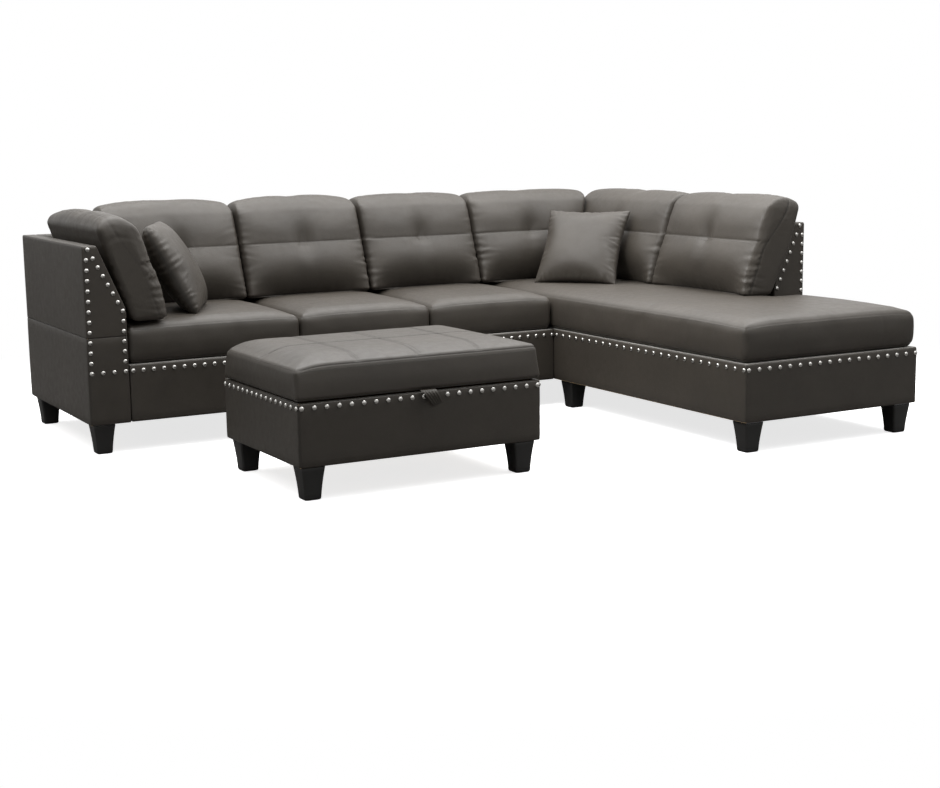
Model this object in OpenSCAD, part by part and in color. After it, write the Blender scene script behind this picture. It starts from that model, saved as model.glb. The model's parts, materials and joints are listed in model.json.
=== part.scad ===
// Sectional sofa with a left arm, a right chaise, a storage ottoman, seven loose back cushions
// and two throw pillows. Millimetres, +Z up, +X to the chaise side, +Y to the rear. The origin is
// on the floor, in the middle of the sectional's outer box.

/* [Sectional] */
// Width over the arm and the chaise
overall_w = 2630; // [2450:10:2800]
// Depth of the sofa section from seat front to rear
sofa_d = 810; // [790:5:860]
// Length of the chaise from its front to the rear
chaise_l = 2006; // [1900:2:2200]
// Width of the chaise section
chaise_w = 767; // [740:1:800]
// Height of the arm and back frames
frame_h = 720; // [700:5:740]
// Length of the frame that backs the chaise, from its front face to the rear
side_back_l = 1392; // [1350:2:1420]

/* [Legs and base] */
// Height of a leg below its mounting plate
leg_h = 103; // [80:1:130]
// Width of a leg at its top
leg_top_w = 74; // [60:1:80]
// Width of a leg at the floor
leg_foot_w = 52; // [40:1:56]
// Distance from a section's corner to a leg's middle
leg_inset = 53; // [46:1:64]
// Thickness of a leg's mounting plate
plate_t = 3; // [2:0.5:5]
// Side of a leg's mounting plate
plate_w = 70; // [60:1:74]
// Radius of a leg's threaded stud
stud_r = 4; // [3:0.5:5]
// Height of the upholstered base
base_h = 200; // [170:5:230]
// Thickness of leather and batting over the frames
cover_t = 4; // [3:0.5:6]
// Thickness of the timber rails
rail_t = 28; // [20:1:35]
// Thickness of the felt deck over the springs
deck_t = 12; // [8:1:16]
// Thickness of the dust cover sheet
dust_t = 2; // [1:0.5:3]
// Thickness of a zigzag spring's wire
wire_t = 4; // [3:0.5:5]

/* [Arm and backs] */
// Thickness of the arm below its slope
arm_w = 144; // [140:1:150]
// Thickness of the arm at its top
arm_top_w = 50; // [44:1:60]
// Height where the arm's inner face starts to slope
arm_break_z = 500; // [480:5:510]
// Height of the seam between the arm's lower and upper parts
arm_seam_z = 407; // [380:1:430]
// Thickness of the rear back below its slope
back_w = 150; // [140:1:155]
// Thickness of the rear back at its top
back_top_w = 60; // [50:1:65]
// Thickness of the chaise's side back below its slope
side_w = 144; // [136:1:146]
// Thickness of the side back at its top
side_top_w = 62; // [50:1:66]
// Height where the backs' inner faces start to slope
back_break_z = 480; // [470:5:500]
// Thickness of the plywood gables in the arm and backs
ply_t = 18; // [15:1:22]

/* [Seat cushions] */
// Height of a seat cushion at its top seam
seat_h = 134; // [120:1:140]
// Extra height of a seat cushion at its crown
seat_crown = 14; // [8:1:20]
// Width of the first seat cushion, beside the arm
seat_1_w = 646; // [600:1:680]
// Width of the second seat cushion
seat_2_w = 533; // [500:1:560]
// Inset of the cushion fronts from the base
seat_inset = 10; // [6:1:16]
// Running gap between soft pieces
soft_gap = 0.6; // [0.4:0.1:1]

/* [Back cushions] */
// Depth of a back cushion at its bottom
back_cushion_d = 200; // [180:1:205]
// Depth of a back cushion at its top
back_cushion_top_d = 165; // [140:1:175]
// Height of a back cushion's front seam above the seat
back_cushion_h = 350; // [320:1:370]
// Rearward slope of a back cushion, per unit of height
lean = 0.38; // [0.3:0.01:0.4]
// Bulge of a back cushion's front
back_crown = 28; // [15:1:32]
// Bulge of a back cushion's top
back_top_crown = 44; // [30:1:48]
// Drop from a back cushion's front top seam to its rear one
back_drop = 12; // [8:1:24]
// Height of the stitched seam across a back cushion, as a share of its height
seam_level = 0.59; // [0.5:0.01:0.7]
// Depth of the stitched channel
seam_depth = 13; // [4:1:18]
// Extra depth of the tuft at the middle of the channel
tuft_depth = 10; // [4:1:14]
// Width of the second back cushion
back_2_w = 525; // [500:1:540]
// Width of the third back cushion
back_3_w = 510; // [490:1:540]
// Depth of the arm cushion at its bottom
arm_cushion_d = 141; // [130:1:146]
// Length of the arm cushion
arm_cushion_l = 640; // [600:1:650]
// Depth of a side cushion at its bottom
side_cushion_d = 182; // [170:1:186]
// Length of the side cushion in the corner
side_1_l = 645; // [600:1:650]
// Length of the side cushion by the frame's front
side_2_l = 605; // [580:1:620]
// Rearward slope of the arm cushion and of the side cushions' frame sides, per unit of height
arm_lean = 0.33; // [0.28:0.01:0.34]

/* [Throw pillows] */
// Side of a throw pillow
pillow_w = 355; // [320:1:380]
// Thickness of a throw pillow at its middle
pillow_t = 126; // [90:1:130]
// Lean of the corner pillow in degrees
corner_pillow_lean = 35; // [25:1:38]
// Turn of the corner pillow in degrees
corner_pillow_turn = 52; // [40:1:58]
// Lean of the arm pillow in degrees
arm_pillow_lean = 28; // [20:1:32]
// Turn of the arm pillow in degrees
arm_pillow_turn = -65; // [-75:1:-60]

/* [Ottoman] */
// Length of the ottoman
ottoman_l = 836; // [760:2:900]
// Width of the ottoman
ottoman_w = 610; // [560:2:660]
// Height of the ottoman's box
box_h = 193; // [170:1:220]
// Thickness of the ottoman's plywood walls
wall_t = 15; // [12:1:18]
// Gap between the box and the lid
lid_gap = 5; // [5:0.5:7]
// Height of the lid at its top seam
lid_h = 106; // [95:1:120]
// Extra height of the lid at its crown
lid_crown = 24; // [15:1:30]
// Thickness of the lid's board
board_t = 16; // [12:1:20]
// Radius of a hinge pin
pin_r = 2; // [1.5:0.1:2.5]
// Radial clearance of a hinge pin in its knuckles
pin_clear = 0.05; // [0.02:0.01:0.08]
// Radius of a hinge knuckle
knuckle_r = 4; // [4:0.1:5]
// Width of the pull tab
tab_w = 46; // [36:1:56]
// Length of the pull tab
tab_l = 56; // [40:1:70]
// Sideways hang of the pull tab's free end
tab_skew = 32; // [0:1:40]
// Thickness of the folded pull tab
tab_t = 4; // [3:0.5:6]

/* [Nail heads] */
// Radius of a nail head
nail_r = 7.5; // [5:0.1:8]
// Height of a nail head's dome
nail_h = 4; // [3:0.1:4]
// Spacing of the nails along the sofa's base
nail_pitch = 37; // [30:1:50]
// Spacing of the nails round the fronts of the arm and the side back
wall_nail_pitch = 35; // [30:1:50]
// Spacing of the nails along the chaise's front
chaise_nail_pitch = 43.5; // [30:0.5:50]
// Spacing of the nails along the chaise's left side
chaise_left_pitch = 46.5; // [30:0.5:50]
// Spacing of the nails round the ottoman
ottoman_nail_pitch = 40; // [30:1:50]
// Distance from a nail row to the edge beside it
nail_edge = 13; // [10:1:16]
// Distance from the base's top edge down to its nail row
nail_drop = 21; // [16:1:26]

/* [Connector] */
// Radius of the connector bar
bar_r = 5; // [4:0.5:6]
// Clearance between the bar and its jaw
jaw_clear = 0.5; // [0.3:0.1:1]
// Width of a connector jaw
jaw_w = 40; // [30:1:60]

/* [Hidden] */
$fn = 48;

leather = "#4a4640";
leather_light = "#6d6861";
timber = "#b58f5f";
felt = "#8a8780";
black_wood = "#1d1b19";
steel = "#8f9196";
chrome = "#d9dadd";
foam = "#e6d9a8";
dust_black = "#262626";
fibre_white = "#f2f2ee";
eps = 0.01;

// How far a cut runs past the face that it opens
over = 1;

// Plan of the sectional
y_rear = (chaise_l + nail_h) / 2;
y_chaise = y_rear - chaise_l;
y_sofa = y_rear - sofa_d;
y_back = y_rear - back_w;
y_side = y_rear - side_back_l;
x_right = overall_w / 2;
x_left = -x_right;
x_seat = x_left + arm_w;
x_split = x_right - chaise_w;
x_side = x_right - side_w;

// Levels. A loose cushion rests a hair above the crown that it stands on.
rest_gap = 0.3;
base_z = leg_h + plate_t;
base_top = base_z + base_h;
deck_z = base_top - deck_t;
spring_z = deck_z - wire_t;
seat_z = base_top + rest_gap;
seat_top = base_top + seat_h;
cushion_z = seat_top + seat_crown + rest_gap;

// Fittings of the bases: stud, the block over it, clearances round the stud, the plate's screw holes,
// and how far the springs stop short of the covers
stud_l = 22;
block_w = 62;
block_cap = 6;
stud_clear = 0.1;
sheet_clear = 1;
screw_r = 2.2;
screw_inset = 7;
spring_end = 6;

// Seat cushions: bulge of their sides, radius of their seams, steps across their crowns. Back
// cushions: radius of their seams and how far these are drawn in, as a share of it.
seat_bulge = 5;
seat_edge = 22;
seat_steps = 4;
cushion_edge = 26;
cushion_tuck = 0.6;

// A box from one corner to the other
module block(a, b) {
    translate(a)
        cube(b - a);
}

// Side view of an arm or back: upright below, sloping to a thin top. The inset shrinks it all round
// except at its open bottom.
function wall_profile(low_w, top_w, z0, z_break, z_top, inset = 0) =
    let (
        m = (low_w - top_w) / (z_top - z_break),
        grow = sqrt(1 + m * m)
    )
    [
        [inset, z0],
        [low_w - inset, z0],
        [low_w - inset, z_break - inset * (grow - 1) / m],
        [top_w + inset * m - inset * grow, z_top - inset],
        [inset, z_top - inset]
    ];

// A wall profile standing along +Y from y0 to y1, with its outer face at x = 0 and its slope on +X
module wall_along_y(points, y0, y1) {
    translate([0, y1, 0])
        rotate([90, 0, 0])
            linear_extrude(height = y1 - y0)
                polygon(points);
}

// A hollow cover with closed ends and an open bottom
module wall_cover(low_w, top_w, z0, z_break, y0, y1) {
    difference() {
        wall_along_y(wall_profile(low_w, top_w, z0, z_break, frame_h), y0, y1);
        wall_along_y(wall_profile(low_w, top_w, z0 - over, z_break, frame_h, cover_t),
                     y0 + cover_t, y1 - cover_t);
    }
}

// Plywood gables joined by rails, to fit inside a wall cover
module wall_frame(low_w, top_w, z0, z_break, y0, y1, count) {
    inside = wall_profile(low_w, top_w, z0, z_break, frame_h, cover_t);
    span = y1 - y0 - 2 * cover_t - ply_t;
    for (i = [0 : count - 1])
        let (y = y0 + cover_t + i * span / (count - 1))
            wall_along_y(inside, y, y + ply_t);
    rail_w = inside[3][0] - inside[4][0];
    block([cover_t, y0 + cover_t, frame_h - cover_t - rail_t],
          [cover_t + rail_w, y1 - cover_t, frame_h - cover_t]);
    block([cover_t, y0 + cover_t, z0], [low_w - cover_t, y1 - cover_t, z0 + rail_t]);
}

// A band of leather round a base, open above and below
module base_cover(a, b, z0, z1) {
    difference() {
        block([a[0], a[1], z0], [b[0], b[1], z1]);
        block([a[0] + cover_t, a[1] + cover_t, z0 - over],
              [b[0] - cover_t, b[1] - cover_t, z1 + over]);
    }
}

// Rails round a base with cross rails along Y and bored corner blocks above the legs
module base_frame(a, b, legs, cross) {
    z0 = base_z + dust_t;
    lo = [a[0] + cover_t, a[1] + cover_t];
    hi = [b[0] - cover_t, b[1] - cover_t];
    difference() {
        union() {
            difference() {
                block([lo[0], lo[1], z0], [hi[0], hi[1], spring_z]);
                block([lo[0] + rail_t, lo[1] + rail_t, z0 - over],
                      [hi[0] - rail_t, hi[1] - rail_t, spring_z + over]);
            }
            for (x = cross)
                block([x - rail_t / 2, lo[1] + rail_t / 2, z0],
                      [x + rail_t / 2, hi[1] - rail_t / 2, spring_z - wire_t]);
            for (p = legs)
                block([p[0] - block_w / 2, p[1] - block_w / 2, z0],
                      [p[0] + block_w / 2, p[1] + block_w / 2, z0 + stud_l + block_cap]);
        }
        for (p = legs)
            translate([p[0], p[1], z0 - over])
                cylinder(r = stud_r + stud_clear, h = stud_l + over);
    }
}

// A sheet under or over the rails, with holes for the leg studs where it has any
module sheet(a, b, z0, z1, legs = []) {
    difference() {
        block([a[0] + cover_t, a[1] + cover_t, z0], [b[0] - cover_t, b[1] - cover_t, z1]);
        for (p = legs)
            translate([p[0], p[1], z0 - over])
                cylinder(r = stud_r + sheet_clear, h = z1 - z0 + 2 * over);
    }
}

// A tapered square leg with the threaded stud that screws it into the base
module leg(p) {
    translate([p[0], p[1], 0]) {
        hull() {
            translate([-leg_foot_w / 2, -leg_foot_w / 2, 0])
                cube([leg_foot_w, leg_foot_w, eps]);
            translate([-leg_top_w / 2, -leg_top_w / 2, leg_h - eps])
                cube([leg_top_w, leg_top_w, eps]);
        }
        translate([0, 0, leg_h - over])
            cylinder(r = stud_r, h = stud_l + plate_t + dust_t - over);
    }
}

// A mounting plate over a leg, with the stud's hole and four screw holes
module leg_plate(p) {
    translate([p[0], p[1], leg_h])
        difference() {
            translate([-plate_w / 2, -plate_w / 2, 0])
                cube([plate_w, plate_w, plate_t]);
            translate([0, 0, -over])
                cylinder(r = stud_r + stud_clear, h = plate_t + 2 * over);
            for (x = [-1, 1], y = [-1, 1])
                translate([x * (plate_w / 2 - screw_inset), y * (plate_w / 2 - screw_inset), -over])
                    cylinder(r = screw_r, h = plate_t + 2 * over);
        }
}

// A zigzag spring lying along +Y, its bends following a sine
module zigzag_spring(x, y0, y1, swing = 24, bends = 14, steps = 6) {
    n = bends * steps;
    centre = [for (i = [0 : n]) [x + swing * sin(360 * i / steps / 2), y0 + (y1 - y0) * i / n]];
    side = [for (i = [0 : n])
        let (
            d = centre[min(n, i + 1)] - centre[max(0, i - 1)],
            l = norm(d)
        )
        [d[1], -d[0]] * wire_t / 2 / l];
    outline = concat([for (i = [0 : n]) centre[i] + side[i]],
                     [for (i = [n : -1 : 0]) centre[i] - side[i]]);
    translate([0, 0, spring_z])
        linear_extrude(height = wire_t)
            polygon(outline);
}

// Grid marks from -1 to 1: close together at both ends, even between
function marks(n, e) = concat(
    [-1, -1 + e / 3],
    [for (i = [0 : n]) -1 + e + i * (2 - 2 * e) / n],
    [1 - e / 3, 1]
);

// Falls from 1 to 0 along a quarter circle over the last share e before an edge
function roll_off(t, e) = abs(t) <= 1 - e ? 1 : sqrt(max(0, 1 - pow((abs(t) - 1 + e) / e, 2)));

// The side of an edge that a mark lies on: -1, 0 or 1
function edge_side(t) = t <= -1 ? -1 : t >= 1 ? 1 : 0;

// A crown's height at a place from -1 to 1 both ways, as a share of its height in the middle
function crown_at(u, v) = (1 - pow(u, 4)) * (1 - pow(v, 4));

function perimeter(k, nu, nv) =
    k < nu ? [k, 0]
    : k < nu + nv ? [nu, k - nu]
    : k < 2 * nu + nv ? [2 * nu + nv - k, nv]
    : [0, 2 * (nu + nv) - k];

// A closed soft solid: two sheets over the marks us and vs, joined by a band through the levels ws.
// place(u, v, w) gives each point, with w = 1 on the first sheet and w = -1 on the second.
module soft_solid(us, vs, ws, place) {
    nu = len(us) - 1;
    nv = len(vs) - 1;
    nw = len(ws) - 1;
    sheet_n = (nu + 1) * (nv + 1);
    ring_n = 2 * (nu + nv);
    points = concat(
        [for (u = us, v = vs) place(u, v, 1)],
        [for (u = us, v = vs) place(u, v, -1)],
        [for (m = [1 : 1 : nw - 1], k = [0 : ring_n - 1])
            let (c = perimeter(k, nu, nv)) place(us[c[0]], vs[c[1]], ws[m])]
    );
    at = function (m, k)
        let (q = k % ring_n, c = perimeter(q, nu, nv), g = c[0] * (nv + 1) + c[1])
        m == 0 ? g : m == nw ? sheet_n + g : 2 * sheet_n + (m - 1) * ring_n + q;
    faces = concat(
        [for (i = [0 : nu - 1], j = [0 : nv - 1])
            let (a = i * (nv + 1) + j, b = a + nv + 1)
            each [[a, a + 1, b + 1], [a, b + 1, b]]],
        [for (i = [0 : nu - 1], j = [0 : nv - 1])
            let (a = sheet_n + i * (nv + 1) + j, b = a + nv + 1)
            each [[a, b + 1, a + 1], [a, b, b + 1]]],
        [for (m = [0 : nw - 1], k = [0 : ring_n - 1])
            each [[at(m, k), at(m, k + 1), at(m + 1, k + 1)], [at(m, k), at(m + 1, k + 1), at(m + 1, k)]]]
    );
    polyhedron(points = points, faces = faces, convexity = 4);
}

// A flat box cushion with a crowned top, rounded seams and sides that bulge between the seams
module box_cushion(a, b, z0, h, crown, edge = seat_edge, bulge = seat_bulge) {
    size = [b[0] - a[0], b[1] - a[1]];
    mid = (a + b) / 2;
    half = size / 2 - [bulge, bulge];
    e = [edge / half[0], edge / half[1]];
    place = function (u, v, w)
        let (
            rise = roll_off(u, e[0]) * roll_off(v, e[1]),
            out = bulge * (1 - w * w),
            top = h - edge * 0.7 * (1 - rise) + crown * crown_at(u, v),
            low = edge * 0.4 * (1 - rise)
        )
        [
            mid[0] + u * half[0] + edge_side(u) * out,
            mid[1] + v * half[1] + edge_side(v) * out,
            z0 + low + (top - low) * (w + 1) / 2
        ];
    soft_solid(marks(seat_steps, e[0]), marks(seat_steps, e[1]), [1, 0.5, -0.5, -1], place);
}

// Where a leaning cushion's side view lies: across its depth (0 front, 1 rear) and up its height
function lean_point(depth, up, low_d, top_d, front_h, rear_h, slope) =
    let (
        front = [slope * front_h * up, front_h * up],
        rear = [low_d + (slope * front_h + top_d - low_d) * up, rear_h * up]
    )
    front + (rear - front) * depth;

// A leaning back cushion in its own frame: x across, y = 0 at the foot of its front, z = 0 at its
// bottom. The ends may slope by k0 and k1 per unit of height. A stitched channel and a tuft cross it.
module back_cushion(x0, x1, low_d, top_d, h, slope, k0 = 0, k1 = 0, crown = back_crown) {
    bulge = 7;
    edge = cushion_edge;
    seam_v = 2 * seam_level - 1;
    e = [2 * edge / (x1 - x0), 2 * edge / h];
    across = [-1, -1 + e[0] / 3, -1 + e[0], -0.45, -0.14, 0, 0.14, 0.45, 1 - e[0], 1 - e[0] / 3, 1];
    upward = [-1, -1 + e[1] / 3, -1 + e[1], (seam_v - 1) / 2, seam_v - 0.16, seam_v, seam_v + 0.16,
              (seam_v + 1.1) / 2, 1 - e[1], 1 - e[1] / 3, 1];
    place = function (u, v, w)
        let (
            p = lean_point((1 - w) / 2, (v + 1) / 2, low_d, top_d, h, h - back_drop, slope),
            rise = roll_off(u, e[0]) * roll_off(v, e[1]),
            channel = seam_depth * exp(-pow((v - seam_v) / 0.1, 2)) * (1 - pow(u, 6)),
            tuft = tuft_depth * exp(-pow(u / 0.12, 2) - pow((v - seam_v) / 0.2, 2)),
            swell = crown * crown_at(u, v),
            face = w > 0 ? swell - channel - tuft : -swell * 0.12,
            tuck = edge * cushion_tuck * (1 - rise) * w,
            out = abs(w) < 1 ? 0 : face - tuck,
            lift = v <= -1 ? 0 : slope * max(0, out),
            top = v < 1 ? 0 : back_top_crown * crown_at(u, 0) * (1 - w * w),
            left = x0 + bulge + k0 * p[1],
            right = x1 - bulge + k1 * p[1]
        )
        [
            left + (right - left) * (u + 1) / 2 + edge_side(u) * bulge * (1 - w * w),
            p[0] - out,
            p[1] + top + lift
        ];
    soft_solid(across, upward, [1, 0.4, -0.4, -1], place);
}

// The fibre filling inside a back cushion: the same leaning side view, drawn in all round
module back_fill(x0, x1, low_d, top_d, h, slope, k0 = 0, k1 = 0) {
    inset = 34;
    corner = function (depth, up) lean_point(depth, up, low_d, top_d, h, h - back_drop, slope);
    left = x0 + inset + max(0, k0 * h);
    right = x1 - inset + min(0, k1 * h);
    profile = [corner(0.22, 0.1), corner(0.82, 0.1), corner(0.8, 0.88), corner(0.24, 0.88)];
    translate([left, 0, 0])
        rotate([90, 0, 90])
            linear_extrude(height = right - left)
                polygon(profile);
}

// The arm and its covers
module arm_shape(inset = 0) {
    translate([x_left, 0, 0])
        wall_along_y(wall_profile(arm_w, arm_top_w, arm_seam_z, arm_break_z, frame_h, inset),
                     y_sofa, y_rear);
}

// The chaise's side back, sloping on its left
module side_shape(z0) {
    translate([x_right, 0, 0])
        mirror([1, 0, 0])
            wall_along_y(wall_profile(side_w, side_top_w, z0, back_break_z, frame_h),
                         y_side, y_rear + over);
}

// Turns a wall that stands along Y, outer face at x = 0, to stand along X with its outer face at the
// rear. The wall's y becomes -x.
module to_rear() {
    translate([0, y_rear, 0])
        rotate([0, 0, -90])
            children();
}

// Leg places. The sofa section's leg by the split stands back from the front, and the chaise's
// middle pair just ahead of the sofa's front.
split_leg_back = 110;
mid_leg_y = y_sofa - 60;
sofa_leg_points = [
    [x_left + leg_inset, y_sofa + leg_inset], [x_left + leg_inset, y_rear - leg_inset],
    [x_split - leg_inset, y_sofa + leg_inset + split_leg_back], [x_split - leg_inset, y_rear - leg_inset]
];
arm_leg_points = [sofa_leg_points[0], sofa_leg_points[1]];
seat_leg_points = [sofa_leg_points[2], sofa_leg_points[3]];
chaise_leg_points = [
    [x_split + leg_inset, y_chaise + leg_inset], [x_right - leg_inset, y_chaise + leg_inset],
    [x_split + leg_inset, mid_leg_y], [x_right - leg_inset, mid_leg_y],
    [x_split + leg_inset, y_rear - leg_inset], [x_right - leg_inset, y_rear - leg_inset]
];

sofa_a = [x_seat, y_sofa];
sofa_b = [x_split, y_rear];
chaise_a = [x_split, y_chaise];
chaise_b = [x_right, y_rear];
arm_a = [x_left, y_sofa];
arm_b = [x_seat, y_rear];
sofa_cross = [x_seat + seat_1_w, x_seat + seat_1_w + seat_2_w];
chaise_mid = (x_split + x_right) / 2;

module sofa_base_cover() {
    color(leather)
        base_cover(sofa_a, sofa_b, base_z, base_top);
}

module sofa_base_frame() {
    color(timber)
        base_frame(sofa_a, sofa_b, seat_leg_points, sofa_cross);
}

module sofa_springs() {
    color(steel)
        for (i = [0 : 5])
            let (x = x_seat + (i + 0.5) * (x_split - x_seat) / 6)
                zigzag_spring(x, y_sofa + cover_t + spring_end, y_rear - cover_t - spring_end);
}

module sofa_seat_deck() {
    color(felt)
        sheet(sofa_a, sofa_b, deck_z, base_top);
}

module sofa_dust_cover() {
    color(dust_black)
        sheet(sofa_a, sofa_b, base_z, base_z + dust_t, seat_leg_points);
}

module sofa_legs() {
    color(black_wood)
        for (p = sofa_leg_points)
            leg(p);
}

module sofa_leg_plates() {
    color(steel)
        for (p = sofa_leg_points)
            leg_plate(p);
}

module arm_lower_cover() {
    color(leather)
        base_cover(arm_a, arm_b, base_z, arm_seam_z);
}

module arm_upper_cover() {
    color(leather)
        translate([x_left, 0, 0])
            wall_cover(arm_w, arm_top_w, arm_seam_z, arm_break_z, y_sofa, y_rear);
}

module arm_frame() {
    color(timber)
        difference() {
            translate([x_left, 0, 0]) {
                wall_frame(arm_w, arm_top_w, base_z, arm_break_z, y_sofa, y_rear, 3);
                block([cover_t, y_sofa + cover_t, base_top - rail_t],
                      [arm_w - cover_t, y_rear - cover_t, base_top]);
            }
            for (p = arm_leg_points)
                translate([p[0], p[1], base_z - over])
                    cylinder(r = stud_r + stud_clear, h = stud_l + dust_t + over);
        }
}

// The rear back over the sofa, cut to the slope of the arm
module sofa_back_cover() {
    color(leather)
        difference() {
            to_rear()
                wall_cover(back_w, back_top_w, base_top, back_break_z, x_left + over, x_split);
            arm_shape();
            block([x_left - over, y_back - over, base_top - over],
                  [x_seat, y_rear + over, arm_seam_z + over]);
        }
}

module sofa_back_frame() {
    color(timber)
        to_rear()
            wall_frame(back_w, back_top_w, base_top, back_break_z, x_seat, x_split, 4);
}

// Places nail heads on the points of a face that looks along -Y
module nails_on_front(points, y) {
    for (p = points)
        translate([p[0], y, p[1]])
            rotate([90, 0, 0])
                nail();
}

// Places nail heads on the points of a face that looks along -X
module nails_on_left(points, x) {
    for (p = points)
        translate([x, p[0], p[1]])
            rotate([0, -90, 0])
                nail();
}

// A domed nail head, flat on z = 0
module nail() {
    ball_r = (nail_r * nail_r + nail_h * nail_h) / (2 * nail_h);
    intersection() {
        translate([0, 0, nail_h - ball_r])
            sphere(r = ball_r);
        cylinder(r = nail_r + over, h = nail_h + over);
    }
}

// Points along a line, both ends included, or without the first
function row(a, b, n, first = 0) = [for (i = [first : n]) a + (b - a) * i / n];

// Steps between the nails of a row from a to b
function steps(a, b, pitch) = max(1, round(norm(b - a) / pitch));

// Nails round the front of a wall: up its outer edge to the middle of its top, down its slope and
// down to its foot
function wall_nails(low_w, top_w, z0, z_break) =
    let (
        foot = [nail_edge, z0],
        corner = [nail_edge, frame_h - nail_edge],
        apex = [top_w * apex_share, frame_h - nail_edge],
        bend = [low_w - nail_edge, z_break - nail_edge / 2],
        heel = [low_w - nail_edge, z0],
        edge = row(foot, corner, steps(foot, corner, wall_nail_pitch))
    )
    concat([for (i = [0 : len(edge) - 2]) edge[i]], [apex],
           row(apex, bend, steps(apex, bend, wall_nail_pitch), 1),
           row(bend, heel, steps(bend, heel, wall_nail_pitch), 1));

// The top nail of a wall's front lies this share of the top's width in from its outer edge
apex_share = 0.4;
nail_z = base_top - nail_drop;
split_nail_gap = 1;

module sofa_nails() {
    side = wall_nails(arm_w, arm_top_w, nail_z, arm_break_z);
    foot_a = [nail_edge, nail_z];
    foot_b = [arm_w - nail_edge, nail_z];
    foot = row(foot_a, foot_b, steps(foot_a, foot_b, nail_pitch));
    arm_points = concat(side, [for (i = [1 : 1 : len(foot) - 2]) foot[i]]);
    run_a = [x_seat + nail_edge, nail_z];
    run_b = [x_split - nail_r - split_nail_gap, nail_z];
    color(chrome) {
        nails_on_front([for (p = arm_points) p + [x_left, 0]], y_sofa);
        nails_on_front(row(run_a, run_b, steps(run_a, run_b, nail_pitch)), y_sofa);
    }
}

// Connector jaws under the sofa section, open toward the chaise, and the bars that they hold.
// Thickness of their plates, metal round a jaw's slot, the lengths from the split to the bar, to the
// jaw's block and to its plate's far end, and how far the plate stops short of the split.
jaw_plate_t = 3;
jaw_wall = 4;
jaw_reach = 34;
jaw_block_l = 40;
jaw_plate_l = 70;
jaw_plate_end = 4;
ear_t = 4;
ear_gap = 3;
ear_half = 12;
ear_drop = 10;
ear_foot = 20;
jaw_z = base_z - jaw_plate_t - bar_r - jaw_clear - jaw_wall;
jaw_x = x_split + jaw_reach;
connector_inset = 260;
connector_y = [y_sofa + connector_inset, y_rear - connector_inset];

module connector_jaws() {
    reach = jaw_x + bar_r + jaw_clear;
    slot = bar_r + jaw_clear;
    color(steel)
        for (y = connector_y)
            difference() {
                union() {
                    block([x_split - jaw_plate_l, y - jaw_w / 2, base_z - jaw_plate_t],
                          [x_split - jaw_plate_end, y + jaw_w / 2, base_z]);
                    block([x_split - jaw_block_l, y - jaw_w / 2, jaw_z - slot - jaw_wall],
                          [reach, y + jaw_w / 2, base_z - jaw_plate_t]);
                }
                translate([jaw_x, y - jaw_w / 2 - over, jaw_z])
                    rotate([-90, 0, 0])
                        cylinder(r = slot, h = jaw_w + 2 * over);
                block([jaw_x, y - jaw_w / 2 - over, jaw_z - slot],
                      [reach + over, y + jaw_w / 2 + over, jaw_z + slot]);
                block([x_split - jaw_plate_end, y - jaw_w / 2 - over, jaw_z + slot + jaw_plate_t],
                      [reach + over, y + jaw_w / 2 + over, base_z + over]);
            }
}

module connector_bars() {
    gap = jaw_w / 2 + ear_gap;
    color(steel)
        for (y = connector_y) {
            translate([jaw_x, y - gap - ear_t, jaw_z])
                rotate([-90, 0, 0])
                    cylinder(r = bar_r, h = 2 * (gap + ear_t));
            for (s = [-1, 1])
                let (y0 = s < 0 ? y - gap - ear_t : y + gap) {
                    block([jaw_x - ear_half, y0, jaw_z - ear_drop], [jaw_x + ear_half, y0 + ear_t, base_z]);
                    block([jaw_x - ear_half, s < 0 ? y0 - ear_foot : y0, base_z - jaw_plate_t],
                          [jaw_x + ear_half, s < 0 ? y0 + ear_t : y0 + ear_t + ear_foot, base_z]);
                }
        }
}

// Seat cushions over the sofa section, and the foam cores that stand in from their covers
seat_y0 = y_sofa + seat_inset;
seat_y1 = y_back - soft_gap;
seat_x = [
    x_seat + soft_gap, x_seat + seat_1_w, x_seat + seat_1_w + seat_2_w, x_split - soft_gap
];
core_inset = 36;
core_below = 20;
core_above = 22;
core_z0 = seat_z + core_below;
core_z1 = seat_z + seat_h - core_above;

module seat_core(i) {
    block([seat_x[i] + core_inset, seat_y0 + core_inset, core_z0],
          [seat_x[i + 1] - core_inset, seat_y1 - core_inset, core_z1]);
}

module seat_cushion(i) {
    color(leather_light)
        difference() {
            box_cushion([seat_x[i] + soft_gap, seat_y0], [seat_x[i + 1] - soft_gap, seat_y1],
                        seat_z, seat_top - seat_z, seat_crown);
            seat_core(i);
        }
}

module seat_foam_cores() {
    color(foam)
        for (i = [0 : 2])
            seat_core(i);
}

// The chaise section
module chaise_base_cover() {
    color(leather)
        base_cover(chaise_a, chaise_b, base_z, base_top);
}

module chaise_base_frame() {
    color(timber)
        base_frame(chaise_a, chaise_b, chaise_leg_points, [chaise_mid]);
}

module chaise_springs() {
    color(steel)
        for (i = [0 : 4])
            let (x = x_split + (i + 0.5) * chaise_w / 5)
                zigzag_spring(x, y_chaise + cover_t + spring_end, y_rear - cover_t - spring_end,
                              bends = 20);
}

module chaise_seat_deck() {
    color(felt)
        sheet(chaise_a, chaise_b, deck_z, base_top);
}

module chaise_dust_cover() {
    color(dust_black)
        sheet(chaise_a, chaise_b, base_z, base_z + dust_t, chaise_leg_points);
}

module chaise_legs() {
    color(black_wood)
        for (p = chaise_leg_points)
            leg(p);
}

module chaise_leg_plates() {
    color(steel)
        for (p = chaise_leg_points)
            leg_plate(p);
}

module side_back_cover() {
    color(leather)
        translate([x_right, 0, 0])
            mirror([1, 0, 0])
                wall_cover(side_w, side_top_w, base_top, back_break_z, y_side, y_rear);
}

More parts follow.
